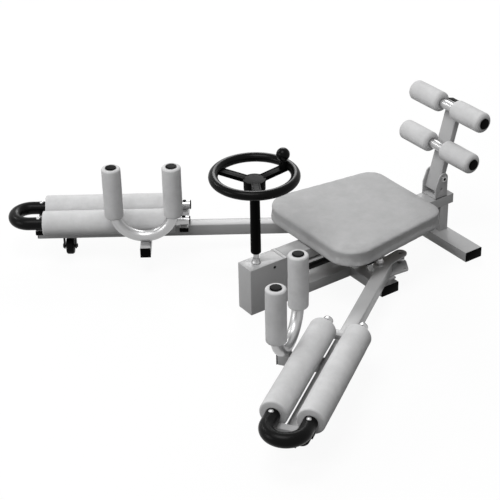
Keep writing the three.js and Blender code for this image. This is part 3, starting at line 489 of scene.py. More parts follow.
def makeRepeatTree():
    tree, given, result = newTree("copiesOnPoints", {
        "Places": "NodeSocketGeometry", "Pattern": "NodeSocketObject", "Finish": "NodeSocketMaterial",
    })
    facing = tree.nodes.new("GeometryNodeInputNamedAttribute")
    facing.data_type = "FLOAT_VECTOR"
    facing.inputs["Name"].default_value = "facing"
    turn = tree.nodes.new("FunctionNodeAlignRotationToVector")
    turn.axis = "Z"
    shape = tree.nodes.new("GeometryNodeObjectInfo")
    copies = tree.nodes.new("GeometryNodeInstanceOnPoints")
    tree.links.new(facing.outputs["Attribute"], turn.inputs["Vector"])
    tree.links.new(given.outputs["Pattern"], shape.inputs["Object"])
    tree.links.new(given.outputs["Places"], copies.inputs["Points"])
    tree.links.new(shape.outputs["Geometry"], copies.inputs["Instance"])
    tree.links.new(turn.outputs["Rotation"], copies.inputs["Rotation"])
    endTree(tree, copies.outputs["Instances"], given, result)
    return tree


def evaluated(carrier):
    return bpy.data.meshes.new_from_object(carrier.evaluated_get(bpy.context.evaluated_depsgraph_get()))


def runTree(tree, mesh, values):
    # evaluates a tree on a mesh once and gives back a plain mesh
    carrier = bpy.data.objects.new("carrier", mesh)
    scene.collection.objects.link(carrier)
    modifier = carrier.modifiers.new("making", "NODES")
    modifier.node_group = tree
    for item in tree.interface.items_tree:
        if item.in_out == "INPUT" and item.name in values:
            modifier[item.identifier] = values[item.name]
    bpy.context.view_layer.update()
    made = evaluated(carrier)
    carrier.modifiers.remove(modifier)
    bpy.data.objects.remove(carrier)
    return made


tubeTree = makeTubeTree()
repeatTree = makeRepeatTree()


def tubePiece(line, radius, name, look, body, nodes, ringSides=40):
    mesh = bpy.data.meshes.new("line")
    mesh.from_pydata([Vector(p) * mm for p in line], [(i, i + 1) for i in range(len(line) - 1)], [])
    made = runTree(tubeTree, mesh, {"Radius": radius * mm, "Sides": ringSides, "Finish": finish[look]})
    shape = bmesh.new()
    shape.from_mesh(made)
    weld(shape)
    shape.to_mesh(made)
    shape.free()
    return dressMesh(made, name, look, body, nodes, crease=50)


def repeatPiece(pattern, spots, facing, name, look, body):
    # pattern is a shape in millimetres that faces +Z, and each copy of it faces the way given
    bmesh.ops.scale(pattern, vec=(mm, mm, mm), verts=pattern.verts[:])
    bmesh.ops.recalc_face_normals(pattern, faces=pattern.faces[:])
    master = bpy.data.objects.new("pattern", meshOf(pattern, "pattern"))
    scene.collection.objects.link(master)
    places = bpy.data.meshes.new("places")
    places.from_pydata([Vector(spot) * mm for spot in spots], [], [])
    ways = places.attributes.new("facing", "FLOAT_VECTOR", "POINT")
    ways.data.foreach_set("vector", list(facing) * len(spots))
    made = runTree(repeatTree, places, {"Pattern": master, "Finish": finish[look]})
    bpy.data.objects.remove(master)
    return dressMesh(made, name, look, body)


def turnTo(direction, place=(0, 0, 0)):
    # moves what stands on the origin along +Z to a place, pointing a given way
    return Matrix.Translation(place) @ Vector(direction).to_track_quat("Z", "Y").to_matrix().to_4x4()


print("tools ready")


# frame rails, feet, post and gearbox

rails = {"corner": 2.4, "plateCorner": 1.2, "plugCorner": 1.6, "studAbove": 60.0}


def dressRails():
    for node in ("lower_beam", "upper_beam", "rear_post", "rear_foot", "gearbox_housing"):
        words = node.split("_")
        softenedNode(node, words[0] + words[1].title(), "framePaint", "frame", rails["corner"])
    for side, _ in sides:
        # the foot without its pivot stud and nut, which are drawn below
        softenedNode(
            f"front_foot_{side}", f"frontFoot{side.title()}", "framePaint", "frame", rails["plateCorner"],
            keep=lambda p: p.z < rails["studAbove"],
        )
        for end in ("front", "rear"):
            plug = f"{end}Plug{side.title()}"
            softenedNode(f"{end}_foot_cap_{side}", plug, "blackPlastic", "frame", rails["plugCorner"])


pivotNut = {
    "x": 154.0, "y": -24.5, "z": 95.3, "washer": [(0, 0), (11.5, 0), (11.5, 2.2), (0, 2.2)],
    "washerEdge": 0.6, "across": 17.5, "hexLow": 2.2, "hexTop": 15.7, "hexEdge": 1.2,
    "dome": 7.8, "domeLow": 2.7, "domeHeight": 8.5,
    "stud": [(0, -40), (8, -40), (8, 1.5), (0, 1.5)],
}


def addDomedNut(shape, place):
    nut = pivotNut
    radius, low, top = nut["dome"], nut["domeLow"], nut["hexTop"]
    addTurned(shape, nut["washer"], nut["washerEdge"], place)
    hexagon = circlePoints(nut["across"] / math.sqrt(3), 6)
    addPlate(shape, hexagon, nut["hexLow"], top, edge=nut["hexEdge"], place=place)
    dome = [(0, low), (radius, low), (radius, top)] + domeLine(radius, top, nut["domeHeight"], 8)
    addLathe(shape, dome + [(0, top + nut["domeHeight"])], place)


def dressPivots():
    for side, sign in sides:
        shape = bmesh.new()
        place = Matrix.Translation((sign * pivotNut["x"], pivotNut["y"], pivotNut["z"]))
        addDomedNut(shape, place)
        addLathe(shape, pivotNut["stud"], place)
        finishPiece(shape, f"pivotNut{side.title()}", "chromePlate", "frame")


gearboxTrim = {
    "top": (0.0, -336.0, 143.2), "shaft": 8.0, "collar": 13.0, "collarHeight": 15.0, "collarFoot": 2.2,
    "collarLip": 1.2, "collarBend": 2.2, "collarEdge": 0.8,
    "flange": [(-30.7, 0.6), (30.7, 0.6), (30.7, 143.6), (-30.7, 143.6)], "flangeEdge": 0.9,
    "flangeRear": -252.2, "flangeThick": 11.8,
    "screwHole": (0.0, 64.0, 10.4), "screws": [(30.0, -295.0, 127.0)], "screwRadius": 4.2, "screwHeight": 2.6,
}
domeScrew = {"neck": 0.55, "neckDepth": 3.0, "socket": [(0.32, 0.97), (0.30, 0.45), (0, 0.40)]}


def addDomeScrew(shape, radius, height, socket=True):
    neck, depth = radius * domeScrew["neck"], domeScrew["neckDepth"]
    profile = [(0, -depth), (neck, -depth), (neck, 0), (radius, 0)] + domeLine(radius, 0, height, 6)
    middle = domeScrew["socket"] if socket else [(0, 1)]
    profile += [(radius * across, height * up) for across, up in middle]
    addLathe(shape, profile, steps=24)


def dressGearbox():
    # trumpet collar where the shaft leaves the housing
    trim = gearboxTrim
    shaft, wide, foot, top = trim["shaft"], trim["collar"], trim["collarFoot"], trim["collarHeight"]
    lip = shaft + trim["collarLip"]
    collar = [(shaft, 0), (wide, 0), (wide, foot)]
    for share in [i / 8 for i in range(1, 9)]:
        swell = (wide - lip) * (1 - share) ** trim["collarBend"]
        collar.append((lip + swell, foot + (top - foot) * share))
    collar += [(shaft, top), (shaft, 0)]
    shape = bmesh.new()
    addTurned(shape, collar, trim["collarEdge"], Matrix.Translation(trim["top"]))
    finishPiece(shape, "shaftCollar", "chromePlate", "frame")
    # flange plate towards the beams, a little proud of the housing
    shape = bmesh.new()
    turn = Matrix(((1, 0, 0, 0), (0, 0, -1, trim["flangeRear"]), (0, 1, 0, 0), (0, 0, 0, 1)))
    addPlate(shape, trim["flange"], 0, trim["flangeThick"], [trim["screwHole"]], trim["flangeEdge"], turn)
    finishPiece(shape, "gearboxFlange", "framePaint", "frame")
    head = bmesh.new()
    addDomeScrew(head, trim["screwRadius"], trim["screwHeight"])
    repeatPiece(head, trim["screws"], (1, 0, 0), "gearboxScrews", "oiledSteel", "frame")


dressRails()
dressPivots()
dressGearbox()
print("rails, feet, pivots and gearbox dressed")


# handwheel, knob, column, screw and crosshead

wheel = {
    "centre": (0.0, -336.0, 410.0), "radius": 109.5, "rim": 13.0, "hubEdge": 1.3,
    "hub": [
        (0, -32.5), (19, -32.5), (19, -38.5), (29.5, -38.5),
        (29.5, -13.5), (31, -13.5), (31, -8.5), (0, -8.5),
    ],
    "spokeFrom": 15.5, "spokeWidth": 25.0, "spokeThick": 7.0, "spokeInset": 4.0, "spokeEdge": 1.6,
    "hubDrop": 13.0, "rimDrop": 4.0,
    "ribHeight": 7.0, "ribWidth": 5.0, "ribInset": (6.0, 5.0), "ribProud": 0.8, "ribEdge": 1.2,
    "knobReach": 94.0, "bossEdge": 2.5,
    "boss": [(0, -15), (9.5, -15), (12.5, -6), (11.5, 3), (9, 11), (0, 11)],
}
knob = {
    "ball": 18.5, "height": 35.0, "neck": 8.0, "foot": [(0, 11.4), (9.5, 11.4), (10.0, 13.4), (8.0, 18.4)],
}


def addSpoke(shape, place):
    # a flat bar with a rib along each edge, tilted up from the hub to the rim
    run, rise = wheel["radius"] - wheel["spokeFrom"], wheel["hubDrop"] - wheel["rimDrop"]
    tilt = Matrix.Rotation(math.atan2(rise, run), 4, "X")
    place = place @ Matrix.Translation((0, wheel["spokeFrom"], -wheel["hubDrop"])) @ tilt
    half, thick, length = wheel["spokeWidth"] / 2, wheel["spokeThick"] / 2, math.hypot(run, rise)
    inset = wheel["spokeInset"]
    addBox(shape, (-half, inset, -thick), (half, length - inset, thick), wheel["spokeEdge"], place)
    ribHalf = wheel["ribWidth"] / 2
    near, far = wheel["ribInset"]
    for way in (1, -1):
        x = way * (half - ribHalf)
        low = (x - ribHalf, near, -thick - wheel["ribHeight"] / 2)
        high = (x + ribHalf, length - far, thick + wheel["ribProud"])
        addBox(shape, low, high, wheel["ribEdge"], place)


def dressWheel():
    place = Matrix.Translation(wheel["centre"])
    shape = bmesh.new()
    ring = circlePoints(wheel["rim"], 32, wheel["radius"])
    addLathe(shape, ring + ring[:1], place, 128)
    finishPiece(shape, "wheelRim", "glossBlack", "wheel", ("handwheel",), crease=45)

    shape = bmesh.new()
    addTurned(shape, wheel["hub"], wheel["hubEdge"], place, 64)
    for i in range(3):
        addSpoke(shape, place @ Matrix.Rotation(i / 3 * math.tau, 4, "Z"))
    knobPlace = place @ Matrix.Translation((0, wheel["knobReach"], 0))
    addTurned(shape, wheel["boss"], wheel["bossEdge"], knobPlace)
    finishPiece(shape, "wheelSpider", "blackPlastic", "wheel", ("handwheel",), crease=45)

    shape = bmesh.new()
    ball, height = knob["ball"], knob["height"]
    start = math.asin(knob["neck"] / ball)
    turns = [start + (math.pi - start) * i / 24 for i in range(24)]
    profile = knob["foot"] + [(ball * math.sin(turn), height - ball * math.cos(turn)) for turn in turns]
    addLathe(shape, profile + [(0, height + ball)], knobPlace)
    finishPiece(shape, "wheelKnob", "glossBlack", "knob", ("wheel_knob",), crease=45)


column = {
    "place": (0.0, -336.0, 0.0), "bore": 8.0, "sleeve": 13.4, "swell": 14.4, "swellTop": 30.0, "round": 6.0,
    "low": 173.0, "high": 377.2, "shaftEdge": 1.0,
    "shaft": [(0, 75.4), (11, 75.4), (20, 84.4), (20, 89), (8, 89), (7.5, 150), (7.5, 400), (0, 400)],
}
screw = {
    "z": 64.0, "radius": 10.0, "depth": 1.6, "pitch": 5.0, "starts": 4, "front": -312.0, "rear": 38.0,
    "sides": 32, "gap": 0.8, "ridgeTop": 2.2, "ridgeSlope": 8.0,
    "cone": [(0, 11.4), (11, 11.4), (20, 20.4), (20, 25), (0, 25)], "coneY": -336.0, "coneEdge": 0.6,
    "rod": [(0, -251.8), (7.5, -251.8), (7.5, 38.0), (0, 38.0)], "rodZ": 85.0, "rodEdge": 0.8,
    "crossheadEdge": 1.2,
}


def dressColumn():
    place = Matrix.Translation(column["place"])
    bore, low, high = column["bore"], column["low"], column["high"]
    swell, bend = column["swell"], column["round"]
    body = [(bore, low)]
    for turn in [i / 6 * math.pi / 2 for i in range(7)]:
        body.append((swell - bend + bend * math.sin(turn), low + bend - bend * math.cos(turn)))
    body += [(swell, low + column["swellTop"]), (column["sleeve"], high), (bore, high), (bore, low)]
    shape = bmesh.new()
    addLathe(shape, body, place)
    finishPiece(shape, "columnSleeve", "blackPlastic", "frame", ("column_sleeve",))
    shape = bmesh.new()
    addTurned(shape, column["shaft"], column["shaftEdge"], place)
    finishPiece(shape, "driveShaft", "chromePlate", "wheel", ("drive_shaft",))


def threadRadius(y, share):
    # the starts wind round the bar, so the radius follows the length and the share of a turn
    phase = (y / (screw["pitch"] * screw["starts"]) - share) * screw["starts"] % 1
    ridge = min(1.0, max(0.0, screw["ridgeTop"] - abs(phase - 0.5) * screw["ridgeSlope"]))
    return screw["radius"] - screw["depth"] * (1 - ridge)


def dressScrew():
    shape = bmesh.new()
    front, rear, count = screw["front"], screw["rear"], screw["sides"]
    steps = int((rear - front) / screw["gap"])
    rings = []
    for y in [front + (rear - front) * k / steps for k in range(steps + 1)]:
        ring = []
        for i in range(count):
            radius, turn = threadRadius(y, i / count), i / count * math.tau
            ring.append(shape.verts.new((radius * math.cos(turn), y, screw["z"] + radius * math.sin(turn))))
        rings.append(ring)
    bridgeRings(shape, rings)
    shape.faces.new(rings[0])
    shape.faces.new(rings[-1])
    addTurned(shape, screw["cone"], screw["coneEdge"], turnTo((0, 1, 0), (0, screw["coneY"], screw["z"])))
    finishPiece(shape, "leadScrew", "oiledSteel", "screw", ("lead_screw",), crease=30)
    shape = bmesh.new()
    addTurned(shape, screw["rod"], screw["rodEdge"], turnTo((0, 1, 0), (0, 0, screw["rodZ"])), 32)
    finishPiece(shape, "guideRod", "chromePlate", "frame", ("guide_rod",))
    softenedNode("crosshead", "crosshead", "oiledSteel", "crosshead", screw["crossheadEdge"])


link = {
    "ear": (136.806, 63.546), "cross": (80.0, -31.2), "end": 12.0, "low": 72.0, "high": 80.0,
    "pins": [
        ("ear", 6.0, 62.0, 93.0), ("cross", 5.0, 71.0, 90.0),
        ("ear", 9.0, 65.6, 71.8), ("ear", 9.0, 80.2, 89.4),
    ],
    "pinEdge": 0.5,
}


def dressLinks():
    # a flat link with its two pins and the spacers on the outer one
    for side, sign in sides:
        shape = bmesh.new()
        outline = hullOf([(*link["ear"], link["end"]), (*link["cross"], link["end"])])
        addPlate(shape, outline, link["low"], link["high"])
        for end, radius, low, high in link["pins"]:
            pin = [(0, low), (radius, low), (radius, high), (0, high)]
            addTurned(shape, pin, link["pinEdge"], Matrix.Translation((*link[end], 0)), 24)
        name, node = f"link{side.title()}", f"link_{side}"
        finishPiece(shape, name, "zincSteel", f"{side}_link", (node,), flip=sign < 0)


dressWheel()
dressColumn()
dressScrew()
dressLinks()
print("wheel, column, screw and links dressed")


# leg arms, drawn as (s, y, z): s along the arm from its pivot, y across it and away from the handwheel

clearance = 0.3  # between a tube and its foam, and between the foam and the cap beyond it
arm = {
    "pivot": (154.0, -24.5), "angle": 34.5, "middle": 10.5, "bottom": 60.0, "top": 95.0,
    "steel": [
        ((-23.0, -8.25, 60.0), (804.0, 29.25, 95.0), 2.4),
        ((362.0, -45.5, 94.5), (388.0, 66.5, 108.5), 1.6), ((782.0, -45.5, 94.5), (804.0, 66.5, 108.5), 1.6),
        ((367.0, 50.3, 108.0), (383.0, 64.3, 114.0), 0.8),
        ((367.0, -43.3, 108.0), (383.0, -29.3, 114.0), 0.8),
        ((469.0, -126.5, 60.9), (499.0, -7.25, 90.9), 2.2),
        ((472.0, -110.0, 90.4), (496.0, -96.0, 101.9), 0.8),
    ],
    "earThick": 5.0, "earUnder": 0.1, "earOver": 0.15, "ear": (-82.3, 35.7), "earEnd": 18.0, "earHole": 6.3,
    "spare": (-53.4, 57.6), "spareEnd": 10.0, "spareHole": 3.5, "boss": 20.0, "bossRise": 0.2, "bore": 8.3,
    "axis": 127.8, "spacing": 46.8, "pipe": 13.5, "pipeInner": 359.0, "bend": 821.3,
    "rollerInner": 400.0, "rollerOuter": 781.0, "roller": 36.6, "rollerEdge": 5.0,
    "grip": 18.8, "gripStart": 782.5,
    "screws": [
        ("Leg", 375.0, 6.0, 2.8, 140.5, "blackPlastic"), ("Grip", 794.0, 6.6, 4.6, 145.6, "chromePlate"),
    ],
    "plugs": [
        ((362.0, 66.6, 95.2), (388.0, 69.5, 108.5), 1.2), ((362.0, -48.5, 95.2), (388.0, -45.6, 108.5), 1.2),
        ((782.0, 66.6, 95.2), (804.0, 69.5, 108.5), 1.2), ((782.0, -48.5, 95.2), (804.0, -45.6, 108.5), 1.2),
        ((804.1, -7.85, 60.4), (805.8, 28.85, 94.6), 0.7),
    ],
    "pipePlug": 13.7, "pipePlugHeight": 3.0, "plugGap": 0.1,
}
cradle = {
    "s": 484.0, "y": -103.0, "spacing": 83.9, "bend": 136.9, "pipe": 16.0, "pad": 27.2, "padLow": 183.0,
    "padHigh": 339.0, "padEdge": 7.0, "cap": 15.6, "capHeight": 2.2,
    "plug": [((469.0, -129.5, 60.9), (499.0, -126.6, 90.9), 1.2)],
}
caster = {
    "s": 714.0, "radius": 25.0, "inside": 15.0, "plate": 3.5, "half": 12.0, "cheekRound": 0.66,
    "top": [((695.5, -1.5, 56.5), (732.5, 22.5, 59.8), 0.8)],
    "cheekEdge": 0.5, "boltEdge": 0.6, "treadEdge": 1.5,
    "bolt": [(0, -21.5), (5.5, -21.5), (5.5, -18.5), (4, -18.5), (4, 18.5), (6.5, 18.5), (6.5, 22), (0, 22)],
    "tread": [(4.3, -12), (9, -12), (9, -10.5), (17, -10.5), (17, -11.5), (22, -11.5), (25, -7)],
}
foam = {
    "shoulder": 0.85, "boreInset": 1.0, "step": 12.0, "skin": 2.0,
    "noiseScale": 0.022, "seedShift": 7.3, "wave": 0.55, "shrink": 0.25,
}
plug = {"core": 0.7, "depth": 6.0, "shoulder": 0.55, "top": 0.86, "edge": 1.2}


def armPlace():
    # takes (s, y, z) to the right arm's place; the left arm is its mirror image
    return Matrix.Translation((*arm["pivot"], 0)) @ Matrix.Rotation(math.radians(arm["angle"] - 90), 4, "Z")


def armLine(points, sign):
    placed = [armPlace() @ Vector(point) for point in points]
    return [Vector((sign * p.x, p.y, p.z)) for p in placed]


def finishArmPiece(shape, side, label, look, node="", body="arm", place=Matrix()):
    nodes = (f"{side}_{node}",) if node else ()
    return finishPiece(shape, side + label, look, f"{side}_{body}", nodes, armPlace() @ place, side == "left")


def hairpinLine(start, bend, spacing, place, sign):
    turns = [i / 64 * math.pi for i in range(65)]
    points = [place(bend + spacing * math.sin(turn), spacing * math.cos(turn)) for turn in turns]
    return armLine([place(start, spacing)] + points + [place(start, -spacing)], sign)


def onRollerLevel(reach, across):
    return (reach, arm["middle"] + across, arm["axis"])


def onCradlePlane(drop, across):
    return (cradle["s"] + across, cradle["y"], cradle["padHigh"] - drop)


def addEars(shape):
    bottom, top, bore, boss = arm["bottom"], arm["top"], arm["bore"], arm["boss"]
    hole, spareHole = (*arm["ear"], arm["earHole"]), (*arm["spare"], arm["spareHole"])
    circles = [(0, 0, boss), (*arm["ear"], arm["earEnd"])]
    addPlate(shape, hullOf(circles), top - arm["earThick"], top + arm["earOver"], [hole])
    circles.append((*arm["spare"], arm["spareEnd"]))
    addPlate(shape, hullOf(circles), bottom - arm["earUnder"], bottom + arm["earThick"], [hole, spareHole])
    low = bottom + arm["bossRise"]
    addLathe(shape, [(bore, low), (boss, low), (boss, top), (bore, top), (bore, low)])


def dressArmWeldment(side):
    shape = bmesh.new()
    addBoxes(shape, arm["steel"])
    addEars(shape)
    finishArmPiece(shape, side, "ArmWeldment", "framePaint", "arm_frame")


def dressCaster(side):
    s, y, wide, thick = caster["s"], arm["middle"], caster["half"], caster["plate"]
    radius, rise = caster["radius"], arm["bottom"] - caster["radius"]
    shape = bmesh.new()
    addBoxes(shape, caster["top"])
    outline = [(-wide, rise), (-wide, 0)]
    for turn in [math.pi - math.pi * i / 16 for i in range(1, 16)]:
        outline.append((wide * math.cos(turn), -wide * caster["cheekRound"] * math.sin(turn)))
    outline += [(wide, 0), (wide, rise)]
    for way in (1, -1):
        turn = Matrix(((0, 0, 1, s + way * caster["inside"]), (1, 0, 0, y), (0, 1, 0, radius), (0, 0, 0, 1)))
        addPlate(shape, outline, *sorted((0, way * thick)), edge=caster["cheekEdge"], place=turn)
    along = turnTo((1, 0, 0), (s, y, radius))
    addTurned(shape, caster["bolt"], caster["boltEdge"], along, 24)
    finishArmPiece(shape, side, "CasterFork", "oiledSteel")
    shape = bmesh.new()
    tread = caster["tread"]
    profile = tread + [(r, -z) for r, z in reversed(tread)] + [tread[0]]
    addTurned(shape, profile, caster["treadEdge"], along, 56)
    finishArmPiece(shape, side, "CasterWheel", "blackRubber", "caster_wheel", "caster")


def sleeveLine(inner, outer, length, edge):
    # section of a cut foam tube with round shoulders, its long side in short steps
    turns = [i / 7 * math.pi / 2 for i in range(8)]
    ends = [(outer - edge + edge * math.sin(a), edge * foam["shoulder"] * (1 - math.cos(a))) for a in turns]
    steps = int((length - 2 * edge) // foam["step"])
    side = [(outer, edge + (length - 2 * edge) * k / steps) for k in range(1, steps)]
    inset = foam["boreInset"]
    line = [(inner, inset)] + ends + side + [(r, length - z) for r, z in reversed(ends)]
    return line + [(inner, length - inset), (inner, inset)]


def foamSleeve(name, body, node, sizes, place, flip, seed):
    shape = bmesh.new()
    bore, outer, length, edge = sizes
    inner = bore + clearance
    addLathe(shape, sleeveLine(inner, outer, length, edge), steps=64)
    for vert in shape.verts:
        # the slight unevenness of cut foam
        reach = math.hypot(vert.co.x, vert.co.y)
        if reach > inner + foam["skin"]:
            wave = noise.noise(vert.co * foam["noiseScale"] + Vector((seed * foam["seedShift"], 0, 0)))
            scale = 1 + (wave * foam["wave"] - foam["shrink"]) / reach
            vert.co.x *= scale
            vert.co.y *= scale
    piece = finishPiece(shape, name, "greyFoam", body, (node,), place=place, flip=flip, crease=60)


def addPlug(shape, radius, height, place=Matrix(), steps=48):
    # a push-in plug that stands on the end of its tube, facing +Z
    core, depth = radius * plug["core"], plug["depth"]
    corners = [(0, -depth), (core, -depth), (core, 0), (radius, 0), (radius, height * plug["shoulder"]),
               (radius * plug["top"], height), (0, height)]
    addTurned(shape, corners, plug["edge"], place, steps)


def dressArmSoft(side, seed):
    body, flip = f"{side}_arm", side == "left"
    sizes = (arm["pipe"], arm["roller"], arm["rollerOuter"] - arm["rollerInner"], arm["rollerEdge"])
    for way, label in ((-1, "inner"), (1, "outer")):
        start = (arm["rollerInner"], arm["middle"] + way * arm["spacing"], arm["axis"])
        name, node = f"{side}Roller{label.title()}", f"{side}_leg_roller_{label}"
        foamSleeve(name, body, node, sizes, armPlace() @ turnTo((1, 0, 0), start), flip, seed + way)
    sizes = (cradle["pipe"], cradle["pad"], cradle["padHigh"] - cradle["padLow"], cradle["padEdge"])
    for way, label in ((1, "front"), (-1, "rear")):
        s = cradle["s"] + way * cradle["spacing"]
        place = armPlace() @ Matrix.Translation((s, cradle["y"], cradle["padLow"]))
        name, node = f"{side}CradlePad{label.title()}", f"{side}_cradle_pad_{label}"
        foamSleeve(name, body, node, sizes, place, flip, seed + 10 + way)
        cap = bmesh.new()
        top = Matrix.Translation((s, cradle["y"], cradle["padHigh"] + clearance))
        addPlug(cap, cradle["cap"], cradle["capHeight"])
        name = f"CradleCap{label.title()}"
        finishArmPiece(cap, side, name, "blackPlastic", f"cradle_cap_{label}", place=top)


def dressArmTubes(side, sign):
    body, bend, spacing = f"{side}_arm", arm["bend"], arm["spacing"]
    line = hairpinLine(arm["pipeInner"], bend, spacing, onRollerLevel, sign)
    tubePiece(line, arm["pipe"], f"{side}RollerTube", "chromePlate", body, (f"{side}_roller_tube",))
    line = hairpinLine(arm["gripStart"], bend, spacing, onRollerLevel, sign)
    grip = tubePiece(line, arm["grip"], f"{side}EndGrip", "blackFoam", body, (f"{side}_end_grip",), 48)
    line = hairpinLine(0, cradle["bend"], cradle["spacing"], onCradlePlane, sign)
    tubePiece(line, cradle["pipe"], f"{side}CradleTube", "chromePlate", body, (f"{side}_cradle_tube",), 48)


def dressArmPlugs(side):
    shape = bmesh.new()
    addBoxes(shape, cradle["plug"])
    finishArmPiece(shape, side, "CradleTubePlug", "blackPlastic", "cradle_tube_plug")
    shape = bmesh.new()
    addBoxes(shape, arm["plugs"])
    for way in (1, -1):
        end = (arm["pipeInner"] - arm["plugGap"], arm["middle"] + way * arm["spacing"], arm["axis"])
        addPlug(shape, arm["pipePlug"], arm["pipePlugHeight"], turnTo((-1, 0, 0), end), 40)
    finishArmPiece(shape, side, "ArmPlugs", "blackPlastic")


def dressArmScrews(side, sign):
    for label, s, radius, height, level, look in arm["screws"]:
        head = bmesh.new()
        addDomeScrew(head, radius, height, socket=False)
        spots = armLine([(s, arm["middle"] + way * arm["spacing"], level) for way in (1, -1)], sign)
        repeatPiece(head, spots, (0, 0, 1), f"{side}{label}Screws", look, f"{side}_arm")


for number, (side, sign) in enumerate(sides):
    dressArmWeldment(side)
    dressCaster(side)
    dressArmTubes(side, sign)
    dressArmSoft(side, number * 100)
    dressArmPlugs(side)
    dressArmScrews(side, sign)
    print(side, "leg arm dressed")


# seat

seat = {
    "front": -180.8, "rear": 210.3, "frontHalf": 202.3, "rearHalf": 168.0,
    "frontCorner": 78.0, "rearCorner": 53.0,
    "boardLow": 143.2, "boardHigh": 148.0, "boardInset": 18.0, "boardEdge": 0.8,
    "low": 146.2, "high": 195.3, "crown": 2.5, "edge": 4.5, "drawIn": 1.2, "gap": 6.0, "footHeight": 4.0,
    "foot": [(4.05, 0), (1.125, 1.2), (0, 4)], "sideRings": 6, "edgeRings": 7, "topRings": 26,
    "crownPower": 4,
    "simInset": 2.0, "simCap": 2.6, "simVoxel": 0.005, "simFrames": 20, "simHeld": 3.0,
    "cloth": {
        "quality": 5, "mass": 0.3, "tension_stiffness": 15, "compression_stiffness": 15,
        "bending_stiffness": 1.0, "use_pressure": True, "uniform_pressure_force": 4.0,
        "vertex_group_mass": "held",
    },
    "noiseScale": 0.013, "axisShift": 9, "sway": 0.6,
}


def seatOutline(inset):
    corners = []
    for way in (1, -1):
        corner = seat["frontCorner"]
        corners.append((way * (seat["frontHalf"] - corner), seat["front"] + corner, corner - inset))
        corner = seat["rearCorner"]
        corners.append((way * (seat["rearHalf"] - corner), seat["rear"] - corner, corner - inset))
    return hullOf(corners, 64)


def evenLoop(loop, gap):
    points = []
    for a, b in zip(loop, loop[1:] + loop[:1]):
        steps = max(1, round(math.dist(a, b) / gap))
        points += [(a[0] + (b[0] - a[0]) * k / steps, a[1] + (b[1] - a[1]) * k / steps) for k in range(steps)]
    return points


def cushionLevels(low, high, span):
    # how far in and how high each ring lies: foot, sides drawn in, round edge and domed top
    edge, start, crown = seat["edge"], low + seat["footHeight"], seat["crown"]
    levels = [(inward, low + rise) for inward, rise in seat["foot"]]
    for share in [k / seat["sideRings"] for k in range(1, seat["sideRings"])]:
        levels.append((seat["drawIn"] * math.sin(share * math.pi), start + (high - edge - start) * share))
    for turn in [k / seat["edgeRings"] * math.pi / 2 for k in range(seat["edgeRings"] + 1)]:
        levels.append((edge * (1 - math.cos(turn)), high - edge + edge * math.sin(turn)))
    for share in [k / seat["topRings"] for k in range(1, seat["topRings"])]:
        levels.append((edge + (span - edge) * share, high + crown * (1 - (1 - share) ** seat["crownPower"])))
    return levels


def cushionForm(inset, drop):
    base = evenLoop(seatOutline(inset), seat["gap"])
    middle = Vector((0, (seat["front"] + seat["rear"]) / 2, 0))
    low, high = seat["low"], seat["high"] - drop
    span = (seat["frontHalf"] + seat["rearHalf"]) / 2
    shape = bmesh.new()
    rings = []
    for depth, height in cushionLevels(low, high, span):
        share = 1 - depth / span
        ring = [(x * share, middle.y + (y - middle.y) * share, height) for x, y in base]
        rings.append([shape.verts.new(point) for point in ring])
    peak = shape.verts.new(middle + Vector((0, 0, high + seat["crown"])))
    foot = shape.verts.new(middle + Vector((0, 0, low)))
    bridgeRings(shape, rings + [[peak]])
    bridgeRings(shape, [[foot], rings[0]])
    bmesh.ops.scale(shape, vec=(mm, mm, mm), verts=shape.verts[:])
    bmesh.ops.recalc_face_normals(shape, faces=shape.faces[:])
    return meshOf(shape, "cushionForm")


def swollen(mesh):
    # the cover swells over its foam: an even mesh, a short cloth run and a cap on each point's travel
    carrier = bpy.data.objects.new("softSeat", mesh)
    scene.collection.objects.link(carrier)
    even = carrier.modifiers.new("even", "REMESH")
    even.mode = "VOXEL"
    even.voxel_size = seat["simVoxel"]
    mesh = evaluated(carrier)
    carrier.modifiers.remove(even)
    carrier.data = mesh
    held = carrier.vertex_groups.new(name="held")
    heldBelow = (seat["low"] + seat["simHeld"]) * mm
    held.add([v.index for v in mesh.vertices if v.co.z < heldBelow], 1.0, "REPLACE")
    cloth = carrier.modifiers.new("swell", "CLOTH")
    for label, value in seat["cloth"].items():
        setattr(cloth.settings, label, value)
    cloth.settings.effector_weights.gravity = 0
    cloth.point_cache.frame_start = 1
    cloth.point_cache.frame_end = seat["simFrames"]
    for step in range(1, seat["simFrames"] + 1):
        scene.frame_set(step)
        bpy.context.view_layer.update()
    moved = evaluated(carrier)
    carrier.modifiers.remove(cloth)
    cap = seat["simCap"] * mm
    for rest, new in zip(mesh.vertices, moved.vertices):
        travel = new.co - rest.co
        if travel.length > cap:
            travel *= cap / travel.length
        rest.co += travel
    finer = carrier.modifiers.new("finer", "SUBSURF")
    finer.levels = finer.render_levels = 1
    made = evaluated(carrier)
    carrier.modifiers.remove(finer)
    bpy.data.objects.remove(carrier)
    scene.frame_set(1)
    return made


def dressSeat():
    board = bmesh.new()
    outline = seatOutline(seat["boardInset"])
    addPlate(board, outline, seat["boardLow"], seat["boardHigh"], edge=seat["boardEdge"])
    finishPiece(board, "seatBoard", "plywood", "frame", ("seat_board",))
    mesh = swollen(cushionForm(seat["simInset"], seat["simInset"]))
    for vert in mesh.vertices:
        # the foam's own slow unevenness under the cover
        place = vert.co / mm
        if place.z > seat["low"] + seat["simHeld"]:
            shifts = [Vector((seat["axisShift"] * axis, 0, 0)) for axis in range(3)]
            sway = [noise.noise(place * seat["noiseScale"] + shift) * seat["sway"] * mm for shift in shifts]
            vert.co += Vector(sway)
    cushion = dressMesh(mesh, "seatCushion", "seatCover", "frame", ("seat_cushion",), crease=60)


dressSeat()
print("seat dressed")


# back lever

